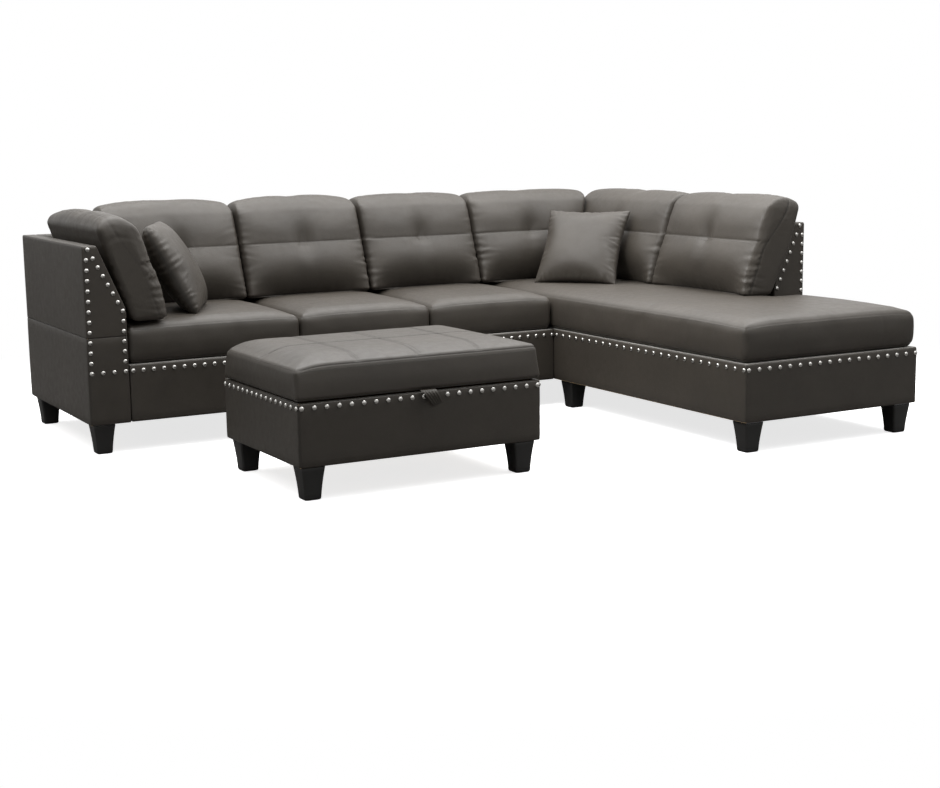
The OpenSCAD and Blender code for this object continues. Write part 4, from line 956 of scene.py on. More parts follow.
class SOFA_OT_lid(Operator):
    """The ottoman's padded lid with its stitched panels, ready for the filling"""
    bl_idname = "sofa.lid"
    bl_label = "Ottoman lid"

    def execute(self, context):
        a, b = OTTOMAN_A, OTTOMAN_B
        left, front, right, rear = a[0] - 0.003, a[1] - 0.001, b[0] + 0.001, b[1] - 0.001
        z0, seam_top = LID_Z, LID_SEAM_Z
        obj, q, edge, on_top, on_foot = flat_pad(
            "lid_leather", [((left, front), (right, rear))], z0, seam_top, radius=0.012, tall=0.018,
            crown=LID_CROWN - 0.001, crown_w=0.13)
        long_l, wide = b[0] - a[0], b[1] - a[1]

        def to_panel_seam(u, v):
            """Distance to the nearest seam between the lid's eight panels."""
            across = [np.abs(u - k / 4) * long_l for k in (1, 2, 3)]
            return np.minimum.reduce(across + [np.abs(v - 0.5) * wide])

        u, v = (q[:, 0] - a[0]) / long_l, (q[:, 1] - a[1]) / wide
        block = coordinates(obj)
        rise = np.clip((block[:, 2] - z0) / (seam_top - z0), 0, 1)
        block[:, 0] += rise * (0.001 - 0.010 * u)
        block[:, 1] += rise * 0.014 * (1 - v)
        block[:, 2] -= 0.013 * np.exp(-((block[:, 0] - a[0]) / 0.055) ** 2) * rise ** 3
        round_corner(block, left, rear, (1, -1), 0.018 + 0.042 * rise)
        round_corner(block, b[0] - 0.003, rear, (-1, -1), 0.014 + 0.022 * rise)
        set_coordinates(obj, block)
        panel = np.where(on_top & (edge > 0.006), to_panel_seam(u, v), 1.0)
        set_layer(obj, "form", np.column_stack([edge, q[:, 2] - z0, seam_top - q[:, 2]]))
        set_layer(obj, "panel", np.column_stack([panel, u, v]))
        inner, rim = edge > SAME, edge < SAME
        pinned = np.select(
            [on_top & inner & (panel < 0.007), on_top & inner, on_top & rim,
             on_foot | rim & (q[:, 2] < z0 + 0.02)], [0.9, 0.5, 0.9, 1.0], 0.0)

        def finish(made):
            subdivided(made)
            edge_d, above, below = get_vector(made, "form").T
            _, uu, vv = get_vector(made, "panel").T
            co, normal = coordinates(made), directions(made)
            lines = to_panel_seam(uu, vv)
            on_panel = (np.clip(normal[:, 2], 0, 1) > 0.5) & (edge_d > 0.004)
            seam_d, foot_d = np.hypot(edge_d, below), np.hypot(edge_d, above)
            crisp = np.clip((uu - 0.012) / 0.02, 0, 1) * np.clip((0.985 - vv) / 0.02, 0, 1)
            shift = (-0.0009 * (0.2 + 0.8 * crisp) * seam_share(seam_d, 0.0026)
                     - 0.0018 * seam_share(foot_d))
            sunk = 0.0014 * seam_share(lines, 0.0045) + 0.0006 * seam_share(lines, 0.018)
            shift -= np.where(on_panel, sunk, 0)
            shift += waves(co, 51, 0.24, 0.0009) * np.clip(above / 0.04, 0, 1)
            push_out(made, co, normal, shift, z0)
            # Painted shade along the lid's edge seam and along the seams between its panels.
            seam_shade = (0.1 + 0.6 * crisp) * seam_share(seam_d, 0.0024)
            seam_shade += np.where(on_panel, 0.55 * seam_share(lines, 0.0032), 0)
            set_layer(made, "seam", np.clip(seam_shade, 0, 1))
            xs = np.arange(a[0] + 0.02, b[0] - 0.02, STITCH_STEP)
            ys = np.arange(a[1] + 0.02, b[1] - 0.02, STITCH_STEP)
            row_z, over_top = seam_top - STITCH_DROP, seam_top + 0.05
            beside = (-0.005, 0.005)
            rows = [[(x, y, row_z) for x in xs] for y in (a[1], b[1])]
            rows += [[(x, y, row_z) for y in ys] for x in (a[0], b[0])]
            rows += [[(a[0] + long_l * k / 4 + s, y, over_top) for y in ys]
                     for k in (1, 2, 3) for s in beside]
            rows += [[(x, a[1] + wide / 2 + s, over_top) for x in xs] for s in beside]
            for row in rows:
                stitch_line(made, "ottoman_lid", row)
            keep_piece(made, "ottoman_lid", "cushion_leather", "lid_cushion")

        cloth_ready(obj, pinned, cap=0.003, finish=finish, shrink=0.0)
        return {"FINISHED"}


# ---------- leaning cushions

class Leaning:
    """The sizes and place of one leaning cushion, in its own frame: x across, y from front to rear.
    ends holds how far each end shifts along x for each metre of height."""

    def __init__(self, name, length, low_d, top_d, h, slope, place, ends, crown, arch, seed):
        self.name, self.length = name, length
        self.low_d, self.top_d, self.h, self.slope = low_d, top_d, h, slope
        self.place, self.ends, self.crown, self.arch, self.seed = place, ends, crown, arch, seed

    def to_world(self, p):
        """Points of the upright block to world ones: it leans, narrows upward and follows its ends."""
        x, y, z = p[:, 0], p[:, 1], p[:, 2]
        share = z / self.h
        depth = self.low_d + (self.top_d - self.low_d) * share
        rear_drop = -0.012 * np.clip(share, 0, 1) * y / self.low_d
        yy = self.slope * z + y / self.low_d * depth
        u = x / self.length
        xx = x + (self.ends[0] * (1 - u) + self.ends[1] * u) * z
        own = np.column_stack([xx, yy, z + rear_drop, np.ones(len(z))])
        return (own @ np.array(self.place).T)[:, :3]

    def between_ends(self, co):
        """World points, kept between the two planes that the cushion's ends may reach."""
        own = np.column_stack([co, np.ones(len(co))]) @ np.array(self.place.inverted()).T
        z, clear = own[:, 2], 0.0006
        own[:, 0] = np.clip(own[:, 0], self.ends[0] * z + clear, self.length + self.ends[1] * z - clear)
        return (own @ np.array(self.place).T)[:, :3]


class SOFA_OT_backs(Operator):
    """The seven leaning cushions of the backs and the arm, ready for the filling"""
    bl_idname = "sofa.backs"
    bl_label = "Back cushions"

    def execute(self, context):
        # Where the four cushions of the rear row start and end
        marks = [ARM_FOOT_X + 0.031, X_SEAT + 0.626, X_SEAT + 1.151, X_SEAT + 1.661,
                 SIDE_FOOT_X - 0.031]
        made = []
        for i, arch in enumerate((0.022, 0.022, 0.014, 0.010)):
            name = f"back_cushion_{i + 1}"
            made.append(Leaning(
                name, marks[i + 1] - marks[i] - 0.0012, BACK_DEPTH, 0.165, ROW_H, ROW_LEAN,
                Matrix.Translation((marks[i] + 0.0006, BACK_FOOT_Y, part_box(name)[0].z)),
                ends=(-0.3 if i == 0 else 0.0, 0.43 if i == 3 else 0.0), crown=ROW_CROWN, arch=arch,
                seed=60 + i))
        y = Y_BACK - 0.038
        for i, length in enumerate(SIDE_LENGTHS):
            name = f"side_cushion_{i + 1}"
            made.append(Leaning(
                name, length, SIDE_DEPTH, 0.155, ROW_H, ROW_LEAN,
                self.turned((SIDE_FOOT_X, y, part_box(name)[0].z), -math.pi / 2),
                ends=(-0.07 * (1 - i), 0.0), crown=ROW_CROWN, arch=0.009, seed=70 + i))
            y -= SIDE_LENGTHS[0] + SIDE_GAP
        made.append(Leaning(
            "arm_cushion", 0.640, ARM_DEPTH, ARM_DEPTH, 0.342, 0.33,
            self.turned((ARM_FOOT_X, Y_SOFA + 0.008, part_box("arm_cushion")[0].z), math.pi / 2),
            ends=(0.0, 0.12), crown=0.020, arch=0.020, seed=80))
        for cushion in made:
            self.build(cushion)
        return {"FINISHED"}

    def turned(self, at, angle):
        return Matrix.Translation(at) @ Matrix.Rotation(angle, 4, "Z")

    def build(self, c):
        step, edge, inset = sizes().cell, 0.03, 0.0025
        low, high = np.array([inset, 0.002, 0.0]), np.array([c.length - inset, c.low_d - 0.004, c.h])
        xs, ys = spaced(low[0], high[0], step, edge), spaced(low[1], high[1], step, edge)
        seam_z = SEAM_LEVEL * c.h
        zs = np.concatenate([
            spaced(0.0, seam_z, step, edge)[:-4], [seam_z - 0.011, seam_z - 0.005, seam_z],
            [seam_z + 0.005, seam_z + 0.011], spaced(seam_z, c.h, step, edge)[4:]])
        grid, quads = shell_grid([len(xs) - 1, len(ys) - 1, len(zs) - 1])
        q = np.stack([xs[grid[:, 0]], ys[grid[:, 1]], zs[grid[:, 2]]], axis=1)
        p, n = rounded(q, low, high, ((0.016, 0.016), (0.042, 0.024), (0.020, 0.023)))
        u = 2 * (p[:, 0] - low[0]) / (high[0] - low[0]) - 1
        v = 2 * p[:, 2] / c.h - 1
        w = 2 * (p[:, 1] - low[1]) / (high[1] - low[1]) - 1
        front, top = np.clip(-n[:, 1], 0, 1), np.clip(n[:, 2], 0, 1)
        lobe = np.where(p[:, 2] > seam_z, (p[:, 2] - seam_z) / (c.h - seam_z),
                        (seam_z - p[:, 2]) / seam_z)
        lobes = 0.86 + 0.14 * np.sin(np.clip(lobe, 0, 1) * math.pi) ** 0.8
        on_arm = c.name == "arm_cushion"
        full_end = 10.0 if on_arm else 3.5
        puff = (1 - np.abs(u) ** full_end) * (1 - v ** 4) * lobes
        p[:, 1] -= front * c.crown * puff
        p[:, 1] += front * 0.064 * np.clip((-v - 0.10) / 0.90, 0, 1) ** 2.2 * (1 - np.abs(u) ** 2.8)
        rear = np.clip(n[:, 1], 0, 1)
        p[:, 1] += rear * 0.003 * (1 - u ** 4) * (1 - v ** 4)
        if c.name.startswith("side"):
            p[:, 1] -= np.clip(w, 0, 1) * 0.034 * np.clip(1 - p[:, 2] / 0.20, 0, 1) ** 1.3
        arched = c.arch * (1 - np.abs(u) ** 2.6) + 0.019 * (1 - np.abs(u) ** 30)
        p[:, 2] += top * arched * (1 - w ** 2)
        ends = np.abs(n[:, 0])
        p[:, 0] += np.sign(u) * ends * 0.004 * (1 - v ** 2) * (1 - w ** 2)
        shoulder = np.clip((v - 0.45) / 0.55, 0, 1) ** 2
        p[:, 0] -= np.sign(u) * np.abs(u) ** 3 * 0.002 * shoulder
        dz = p[:, 2] - seam_z
        channel = np.where(dz > 0, np.exp(-(dz / 0.034) ** 2), np.exp(-(dz / 0.014) ** 2))
        mid_x = (low[0] + high[0]) / 2
        x_mid = p[:, 0] - mid_x
        tuft = np.exp(-(x_mid / 0.034) ** 2) * np.where(
            dz > 0, np.exp(-(dz / 0.055) ** 2), np.exp(-(dz / 0.016) ** 2))
        p[:, 1] += front * (0.0024 * channel * (1 - np.abs(u) ** 6) + 0.018 * tuft)
        obj = mesh_object(c.name + "_leather", c.to_world(p), quads)
        set_layer(obj, "form", q)
        set_layer(obj, "facing", n)
        on_channel = (np.abs(q[:, 2] - seam_z) < SAME) & (grid[:, 1] == 0)
        on_end = (grid[:, 0] == 0) | (grid[:, 0] == len(xs) - 1)
        foot_or_rear = (grid[:, 2] == 0) | (grid[:, 1] == len(ys) - 1)
        pinned = np.select([foot_or_rear, on_channel, on_end], [1.0, 0.9, 0.55], 0.0)

        def finish(made):
            subdivided(made)
            form, facing = get_vector(made, "form"), get_vector(made, "facing")
            co, normal = coordinates(made), directions(made)
            x, y, z = form.T
            end_d = np.maximum(np.minimum(x - low[0], high[0] - x), 0)
            front_d = y - low[1]
            top_d = np.maximum(high[2] - z, 0)
            climb = np.clip((z / c.h - 0.45) / 0.55, 0, 1)
            panel = 0.034 + (0.58 * c.low_d - 0.034) * climb * climb * (3 - 2 * climb)
            seam_d = np.hypot(np.minimum(end_d, top_d), front_d - panel)
            foot_seam = np.hypot(front_d, z)
            channel_d = np.where(front_d < 0.001, np.abs(z - seam_z), 1.0)
            height = sizes().fold_height
            sewn = 0.35 if on_arm else 1.0
            shift = -sizes().seam_depth * (sewn * seam_share(seam_d, 0.005)
                                           + seam_share(foot_seam, 0.005))
            shift -= 0.0010 * seam_share(channel_d, 0.0036)
            away = np.where(end_d < 0.0008, np.abs(panel - front_d), 0.014 + end_d)
            folds = np.where(x < mid_x, *(
                gathers(z, away, seed, 0.0, 1.0, spacing=0.017, reach=0.046, width=0.0065)
                for seed in (c.seed, c.seed + 7)))
            low_bias = 0.35 + 0.85 * np.exp(-((z - 0.12) / 0.10) ** 2)
            on_top = top_d < 0.0008
            shift += np.where(on_top | (front_d > 0.14), 0, folds) * height * low_bias

            def cross_folds(away, seed, spacing, reach, width):
                """Folds spread over the cushion's whole length."""
                return gathers(x + 1.0, away, c.seed + seed, 0.9, 2.0, spacing, reach, width)

            pleats = cross_folds(np.abs(front_d - panel), 13, spacing=0.034, reach=0.026, width=0.008)
            shift += np.where(on_top, pleats, 0) * height * 0.5
            near_tuft = np.exp(-((x - mid_x) / 0.05) ** 2)
            pucker = cross_folds(np.abs(z - seam_z) + 0.003, 19, spacing=0.030, reach=0.022,
                                 width=0.006)
            shift += np.where(front_d < 0.02, pucker * near_tuft * 0.0022 + pucker * 0.0006, 0)
            foot_folds = cross_folds(z, 23, spacing=0.05, reach=0.035, width=0.010)
            shift += np.where(front_d < 0.02, foot_folds * height * 0.5, 0)
            shift += waves(co, c.seed, 0.16, 0.0010)
            quiet = (facing[:, 2] < -0.9) | (facing[:, 1] > 0.95)
            shift = np.where(quiet, np.minimum(shift, 0), shift)
            set_coordinates(made, c.between_ends(co + normal * shift[:, None]))
            # Painted shade along the panel seams, the foot seam and the channel.
            seam_shade = sewn * seam_share(seam_d, 0.0035) + seam_share(foot_seam, 0.004)
            set_layer(made, "seam", np.clip(seam_shade + 0.38 * seam_share(channel_d, 0.0024), 0, 1))
            row = [[along, low[1] - 0.02, seam_z - 0.006]
                   for along in np.arange(low[0] + 0.02, high[0] - 0.02, STITCH_STEP)]
            stitch_line(made, c.name, c.to_world(np.array(row)))
            keep_piece(made, c.name, "cushion_leather", c.name, c.name + "_fill")

        cloth_ready(obj, pinned, cap=0.010, finish=finish)


# ---------- throw pillows

class SOFA_OT_pillows(Operator):
    """Two square knife-edged throw pillows, ready for the filling"""
    bl_idname = "sofa.pillows"
    bl_label = "Throw pillows"

    def execute(self, context):
        # Name, where its lower corner's middle stands, turn and lean in degrees, bluntness and seed
        rows = [("arm_pillow", (ARM_FOOT_X + 0.188, Y_SOFA + 0.241, SEAT_TOP + 0.0003 + 0.0003),
                 65.0, 28.0, 0.085, 90),
                ("corner_pillow", (SIDE_FOOT_X - 0.202, Y_SOFA + 0.201, SEAT_TOP + 0.0003 + 0.0009),
                 -52.0, 35.0, 0.0, 95)]
        for name, at, turn, lean, blunt, seed in rows:
            place = (Matrix.Translation(at) @ Matrix.Rotation(math.radians(turn), 4, "Z")
                     @ Matrix.Rotation(math.radians(90 - lean), 4, "X"))
            self.build(name, place, blunt, seed)
        return {"FINISHED"}

    def build(self, name, place, blunt, seed):
        """One pillow at the place. A larger blunt rounds its corners and fills out its sides."""
        width, thick = 0.355, 0.126
        half, n = width / 2, 44
        t = np.linspace(-1, 1, n + 1)
        t = np.sign(t) * (1 - (1 - np.abs(t)) ** 1.12)
        index, points, quads = {}, [], []

        def at(i, j, side):
            key = (i, j, 0 if i in (0, n) or j in (0, n) else side)
            if key not in index:
                index[key] = len(points)
                points.append((t[i], t[j], key[2]))
            return index[key]

        for i in range(n):
            for j in range(n):
                quads.append((at(i, j, 1), at(i + 1, j, 1), at(i + 1, j + 1, 1), at(i, j + 1, 1)))
                quads.append((at(i, j, -1), at(i, j + 1, -1), at(i + 1, j + 1, -1), at(i + 1, j, -1)))
        form = np.array(points, float)
        u, v, w = form[:, 0], form[:, 1], form[:, 2]
        puff = ((1 - u ** 2) * (1 - v ** 2)) ** (0.5 - blunt)
        corner = blunt * (u * v) ** 6
        x = half * u * (1 - 0.065 * (1 - v ** 2) * (1 - 9 * blunt) - corner)
        y = half + half * v * (1 - 0.065 * (1 - u ** 2) * (1 - 9 * blunt) - corner * (v > 0))
        z = w * (0.001 + (thick / 2 - 0.006) * puff)
        own = np.column_stack([x, y, z, np.ones(len(x))])
        obj = mesh_object(name + "_leather", (own @ np.array(place).T)[:, :3], quads)
        set_layer(obj, "form", form)
        pinned = np.where(np.maximum(np.abs(u), np.abs(v)) > 0.999, 0.6, 0.0)

        def finish(made):
            subdivided(made)
            f = get_vector(made, "form")
            co, normal = coordinates(made), directions(made)
            du, dv = (1 - np.abs(f[:, 0])) * half, (1 - np.abs(f[:, 1])) * half
            edge = np.minimum(du, dv)
            side = np.where(du < dv, np.sign(f[:, 0]) + 2, np.sign(f[:, 1]) + 6)
            along = np.where(du < dv, f[:, 1], f[:, 0]) * half + side
            folds = gathers(along, edge, seed, 0.5, 7.6, spacing=0.021, reach=0.034, width=0.006)
            shift = folds * sizes().fold_height * 0.8 * np.clip(edge / 0.006, 0, 1)
            shift += waves(co, seed, 0.12, 0.0012) * np.clip(edge / 0.03, 0, 1)
            push_out(made, co, normal, shift, SEAT_TOP)
            # Painted shade along the pillow's edge seam.
            set_layer(made, "seam", 0.8 * seam_share(edge, 0.003))
            keep_piece(made, name, "cushion_leather", name)

        cloth_ready(obj, pinned, cap=0.014, finish=finish, shrink=0.03)


class SOFA_OT_filling(Operator):
    """Fills all the soft pieces by one cloth simulation, then adds seams and folds"""
    bl_idname = "sofa.filling"
    bl_label = "Fill the cushions"

    def execute(self, context):
        settle_cloth()
        return {"FINISHED"}


# ---------- trim

def tree_with(name, inputs):
    """A geometry node tree with the named size inputs after its geometry, and its group input."""
    tree = bpy.data.node_groups.new(name, "GeometryNodeTree")
    tree.interface.new_socket("Geometry", in_out="INPUT", socket_type="NodeSocketGeometry")
    for label, kind, value in inputs:
        socket = tree.interface.new_socket(label, in_out="INPUT", socket_type=kind)
        if value is not None:
            socket.default_value = value
    tree.interface.new_socket("Geometry", in_out="OUTPUT", socket_type="NodeSocketGeometry")
    n = Nodes(tree)
    return n, n.add("NodeGroupInput")


def apply_tree(obj, tree, values):
    """Runs the tree on the object and leaves its plain mesh."""
    modifier = obj.modifiers.new("make", "NODES")
    modifier.node_group = tree
    for item in tree.interface.items_tree:
        if item.item_type == "SOCKET" and item.in_out == "INPUT" and item.name in values:
            modifier[item.identifier] = values[item.name]
    return baked(obj)


def ball_on_each(n, start, points, turn, ball, size, smooth):
    """Ends a tree with a squashed ball on each point, made real and given the tree's material."""
    ball = n.add("GeometryNodeMeshUVSphere", {"Radius": 1.0, **ball}).outputs["Mesh"]
    scale = n.add("ShaderNodeCombineXYZ", dict(zip("XYZ", size))).outputs[0]
    ball = n.add("GeometryNodeTransform", {"Geometry": ball, "Scale": scale}).outputs["Geometry"]
    if smooth:
        ball = n.add("GeometryNodeSetShadeSmooth", {"Geometry": ball}).outputs["Geometry"]
    placed = n.add("GeometryNodeInstanceOnPoints",
                   {"Points": points, "Rotation": turn, "Instance": ball}).outputs["Instances"]
    real = n.add("GeometryNodeRealizeInstances", {"Geometry": placed}).outputs["Geometry"]
    coat = n.add("GeometryNodeSetMaterial", {"Geometry": real, "Material": start.outputs["Material"]})
    n.add("NodeGroupOutput", {"Geometry": coat.outputs["Geometry"]})
    return n.tree


def stitch_tree():
    """Stitches along the mesh's lines: small rounded threads, one every Pitch."""
    n, start = tree_with("stitches", [
        ("Pitch", "NodeSocketFloat", 0.0065), ("Length", "NodeSocketFloat", 0.0048),
        ("Radius", "NodeSocketFloat", 0.0006), ("Material", "NodeSocketMaterial", None)])
    given = start.outputs
    curve = n.add("GeometryNodeMeshToCurve", {"Mesh": given["Geometry"]}).outputs["Curve"]
    points = n.add("GeometryNodeCurveToPoints", {"Curve": curve, "Length": given["Pitch"]},
                   mode="LENGTH").outputs
    half = n.add("ShaderNodeMath", {0: given["Length"], 1: 0.5}, operation="MULTIPLY").outputs[0]
    return ball_on_each(n, start, points["Points"], points["Rotation"], {"Segments": 6, "Rings": 5},
                        (given["Radius"], given["Radius"], half), smooth=False)


def nail_tree():
    """Domed nail heads on the mesh's points, turned along the attribute facing."""
    n, start = tree_with("nail_heads", [
        ("Radius", "NodeSocketFloat", 0.0055), ("Height", "NodeSocketFloat", 0.0038),
        ("Sides", "NodeSocketInt", 14), ("Material", "NodeSocketMaterial", None)])
    given = start.outputs
    points = n.add("GeometryNodeMeshToPoints", {"Mesh": given["Geometry"]}).outputs["Points"]
    facing = n.add("GeometryNodeInputNamedAttribute", {"Name": "facing"},
                   data_type="FLOAT_VECTOR").outputs["Attribute"]
    turn = n.add("FunctionNodeAlignRotationToVector", {"Vector": facing}, axis="Z").outputs["Rotation"]
    return ball_on_each(n, start, points, turn, {"Segments": given["Sides"], "Rings": 8},
                        (given["Radius"], given["Radius"], given["Height"]), smooth=True)


def islands(node):
    """The separate solids of a CAD node, as arrays of points."""
    mesh = NODES[node].data
    co = rows_of(mesh.vertices, "co")
    keys = {}
    same = [keys.setdefault(tuple(k), len(keys)) for k in np.round(co * 1e6).astype(int).tolist()]
    parent = list(range(len(keys)))

    def root(a):
        while parent[a] != a:
            parent[a] = parent[parent[a]]
            a = parent[a]
        return a

    for polygon in mesh.polygons:
        first = root(same[polygon.vertices[0]])
        for vertex in polygon.vertices[1:]:
            parent[root(same[vertex])] = first
    groups = {}
    for row, key in enumerate(same):
        groups.setdefault(root(key), []).append(row)
    return [co[rows] for rows in groups.values()]


def nail_places(node):
    """Where each nail head sits, and the way it faces. Its wide, flat side is on the leather."""
    places = []
    for points in islands(node):
        low, high = points.min(0), points.max(0)
        axis = int(np.argmin(high - low))
        others = [k for k in range(3) if k != axis]
        middle = (low + high) / 2
        wide = np.linalg.norm(points[:, others] - middle[others], axis=1)
        sign = 1.0 if wide[points[:, axis] < low[axis] + 1e-4].max() > 0.004 else -1.0
        seat = middle.copy()
        seat[axis] = low[axis] if sign > 0 else high[axis]
        facing = np.zeros(3)
        facing[axis] = sign
        places.append((seat, facing))
    return places


class SOFA_OT_nails(Operator):
    """Rows of domed chrome nail heads, one mesh for each body"""
    bl_idname = "sofa.nails"
    bl_label = "Nail heads"

    def execute(self, context):
        tree = nail_tree()
        for node, body in (("sofa_nails", "sofa_section"), ("chaise_nails", "chaise_section"),
                           ("ottoman_nails", "ottoman")):
            places = nail_places(node)
            sunk = [seat - facing * 0.0004 for seat, facing in places]
            obj = mesh_object(node.replace("_nails", "_nail_heads"), sunk, [])
            set_layer(obj, "facing", np.array([facing for _, facing in places]))
            apply_tree(obj, tree, {"Radius": sizes().nail_radius, "Height": sizes().nail_height,
                                   "Sides": sizes().nail_sides, "Material": finish_for("nail_chrome")})
            keep_piece(obj, body, "nail_chrome", node)
        return {"FINISHED"}


class SOFA_OT_stitches(Operator):
    """Stitches along every sewn line that the soft pieces left, one mesh for each body"""
    bl_idname = "sofa.stitches"
    bl_label = "Stitches"

    def execute(self, context):
        tree = stitch_tree()
        bodies = sorted({body for body, _ in stitched})
        for body in bodies:
            points, edges = [], []
            for owner, line in stitched:
                if owner == body:
                    first = len(points)
                    points += [tuple(p) for p in line]
                    edges += [(first + k, first + k + 1) for k in range(len(line) - 1)]
            mesh = bpy.data.meshes.new(body + "_stitches")
            mesh.from_pydata(points, edges, [])
            obj = bpy.data.objects.new(body + "_stitches", mesh)
            bpy.context.scene.collection.objects.link(obj)
            apply_tree(obj, tree, {"Pitch": sizes().stitch_pitch, "Length": sizes().stitch_length,
                                   "Radius": sizes().thread_radius, "Material": finish_for("thread")})
            obj.data.shade_smooth()
            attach(obj, body)
        return {"FINISHED"}


class SOFA_OT_legs(Operator):
    """Black tapered legs with eased edges, one mesh for each section and the ottoman"""
    bl_idname = "sofa.legs"
    bl_label = "Legs"

    def execute(self, context):
        for node, body in (("sofa_legs", "sofa_section"), ("chaise_legs", "chaise_section"),
                           ("ottoman_legs", "ottoman")):
            points, quads = [], []
            for leg in islands(node):
                middle = (leg[:, :2].min(0) + leg[:, :2].max(0)) / 2
                self.leg(middle, points, quads)
            obj = mesh_object(node.replace("_legs", "_leg_set"), points, quads)
            keep_piece(obj, body, "black_wood", node)
        return {"FINISHED"}

    def leg(self, middle, points, quads):
        """One leg: rounded squares stacked from the foot to the plate, closed at both ends."""
        leg_h, foot, top = 0.1028, 0.0275, 0.0385
        # Each level's height, and how much wider than the plain taper it is
        levels = [(0.0, -0.0055), (0.0007, -0.0034), (0.0020, -0.0017), (0.0042, -0.0005)]
        levels += [(z, 0.0) for z in (0.0070, 0.02, 0.035, 0.05, 0.065, 0.08, 0.09, 0.101)]
        levels += [(leg_h, -0.001)]
        corner, per = 0.0075, 6
        first = len(points)
        for z, ease in levels:
            half = foot + (top - foot) * (z / leg_h) ** 1.45 + ease
            for k in range(4):
                cx = (half - corner) * (1 if k in (0, 3) else -1)
                cy = (half - corner) * (1 if k in (0, 1) else -1)
                for m in range(per):
                    angle = math.pi / 2 * (k + m / (per - 1))
                    points.append((middle[0] + cx + corner * math.cos(angle),
                                   middle[1] + cy + corner * math.sin(angle), z))
        ring = 4 * per
        quads += ring_quads(len(levels), ring, first)
        quads.append(tuple(first + k for k in reversed(range(ring))))
        quads.append(tuple(first + (len(levels) - 1) * ring + k for k in range(ring)))


class SOFA_OT_tab(Operator):
    """The ottoman's gathered leather pull tab, folded double"""
    bl_idname = "sofa.tab"
    bl_label = "Pull tab"

    def execute(self, context):
        low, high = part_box("pull_tab")
        across, steps = 28, 40
        rear_y, front_y = high.y - 0.0004, low.y + 0.0006
        half, middle = TAB_W / 2, (front_y + rear_y) / 2
        points = []
        for side in (front_y, rear_y):
            for i in range(steps + 1):
                s = i / steps
                bulge = 0.012 * math.sin(math.pi * s ** 0.6)
                for j in range(across + 1):
                    t = 2 * j / across - 1
                    x = TAB_X + TAB_SKEW * s ** 1.15 + t * half * (1.16 - 0.48 * s)
                    z = TAB_TOP - TAB_L * s + 0.006 * t * s
                    ridge = 0.5 + 0.5 * math.cos(t * math.pi * 5 + 0.6 * math.sin(s * 4))
                    edge = (1 - abs(t) ** 6) * (1 - s ** 10)
                    full = 0.45 + 0.55 * ridge if side == front_y else 0.9 - 0.3 * ridge
                    y = (middle + (side - middle) * edge * full - bulge
                         - 0.0012 * ridge * math.sin(math.pi * s))
                    points.append((x, y, z))
        quads, row = [], across + 1
        size = (steps + 1) * row
        for i in range(steps):
            for j in range(across):
                a = i * row + j
                quads.append((a + row, a + row + 1, a + 1, a))
                quads.append((size + a, size + a + 1, size + a + row + 1, size + a + row))
        rim = ([(0, j) for j in range(across)] + [(i, across) for i in range(steps)]
               + [(steps, j) for j in range(across, 0, -1)] + [(i, 0) for i in range(steps, 0, -1)])
        for k, (i, j) in enumerate(rim):
            m, n = rim[(k + 1) % len(rim)]
            a, b = i * row + j, m * row + n
            quads.append((a, b, size + b, size + a))
        obj = mesh_object("pull_tab_leather", points, quads)
        subdivided(obj)
        keep_piece(obj, "pull_tab", "body_leather", "pull_tab")
        return {"FINISHED"}


class SOFA_OT_decks(Operator):
    """Felt decks over the springs and dust cloths under the bases"""
    bl_idname = "sofa.decks"
    bl_label = "Decks and dust cloths"

    def execute(self, context):
        for part, body in (("sofa", "sofa_section"), ("chaise", "chaise_section")):
            low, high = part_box(part + "_seat_deck")
            radii = ((0.004, 0.004), (0.004, 0.004), (0.003, 0.003))
            obj = padded_wall(part + "_deck_felt", low, high, lambda p: p, radii, 140, 0.04)
            keep_piece(obj, body, "felt", part + "_seat_deck")
            low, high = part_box(part + "_dust_cover")
            self.cloth(part, body, low, high)
        return {"FINISHED"}

    def cloth(self, part, body, low, high):
        """A stretched cloth of 0.6 mm that sags a little between the rails."""
        nx, ny, thick = 36, 36, 0.0006
        hem = 0.002
        xs, ys = (np.linspace(low[k] + hem, high[k] - hem, n + 1) for k, n in ((0, nx), (1, ny)))
        grid, quads = shell_grid((nx, ny, 1))
        u, v = 2 * grid[:, 0] / nx - 1, 2 * grid[:, 1] / ny - 1
        sag = 0.0009 * (1 - u ** 4) * (1 - v ** 4)
        z = high.z - 0.0003 - np.where(grid[:, 2] == 0, thick, 0) - sag
        points = np.column_stack([xs[grid[:, 0]], ys[grid[:, 1]], z])
        obj = mesh_object(part + "_dust_cloth", points, quads)
        keep_piece(obj, body, "dust_cloth", part + "_dust_cover")


class SOFA_OT_finishes(Operator):
    """Materials for the frames, boards, springs and fittings that stay as they are"""
    bl_idname = "sofa.finishes"
    bl_label = "Frame finishes"

    def execute(self, context):
        slots = {row["node"]: row["material_slot"] for row in frame["record"]["subparts"]}
        for name, node in NODES.items():
            for holder in node.material_slots:
                holder.material = finish_for(slots[name])
        return {"FINISHED"}


# ---------- stage

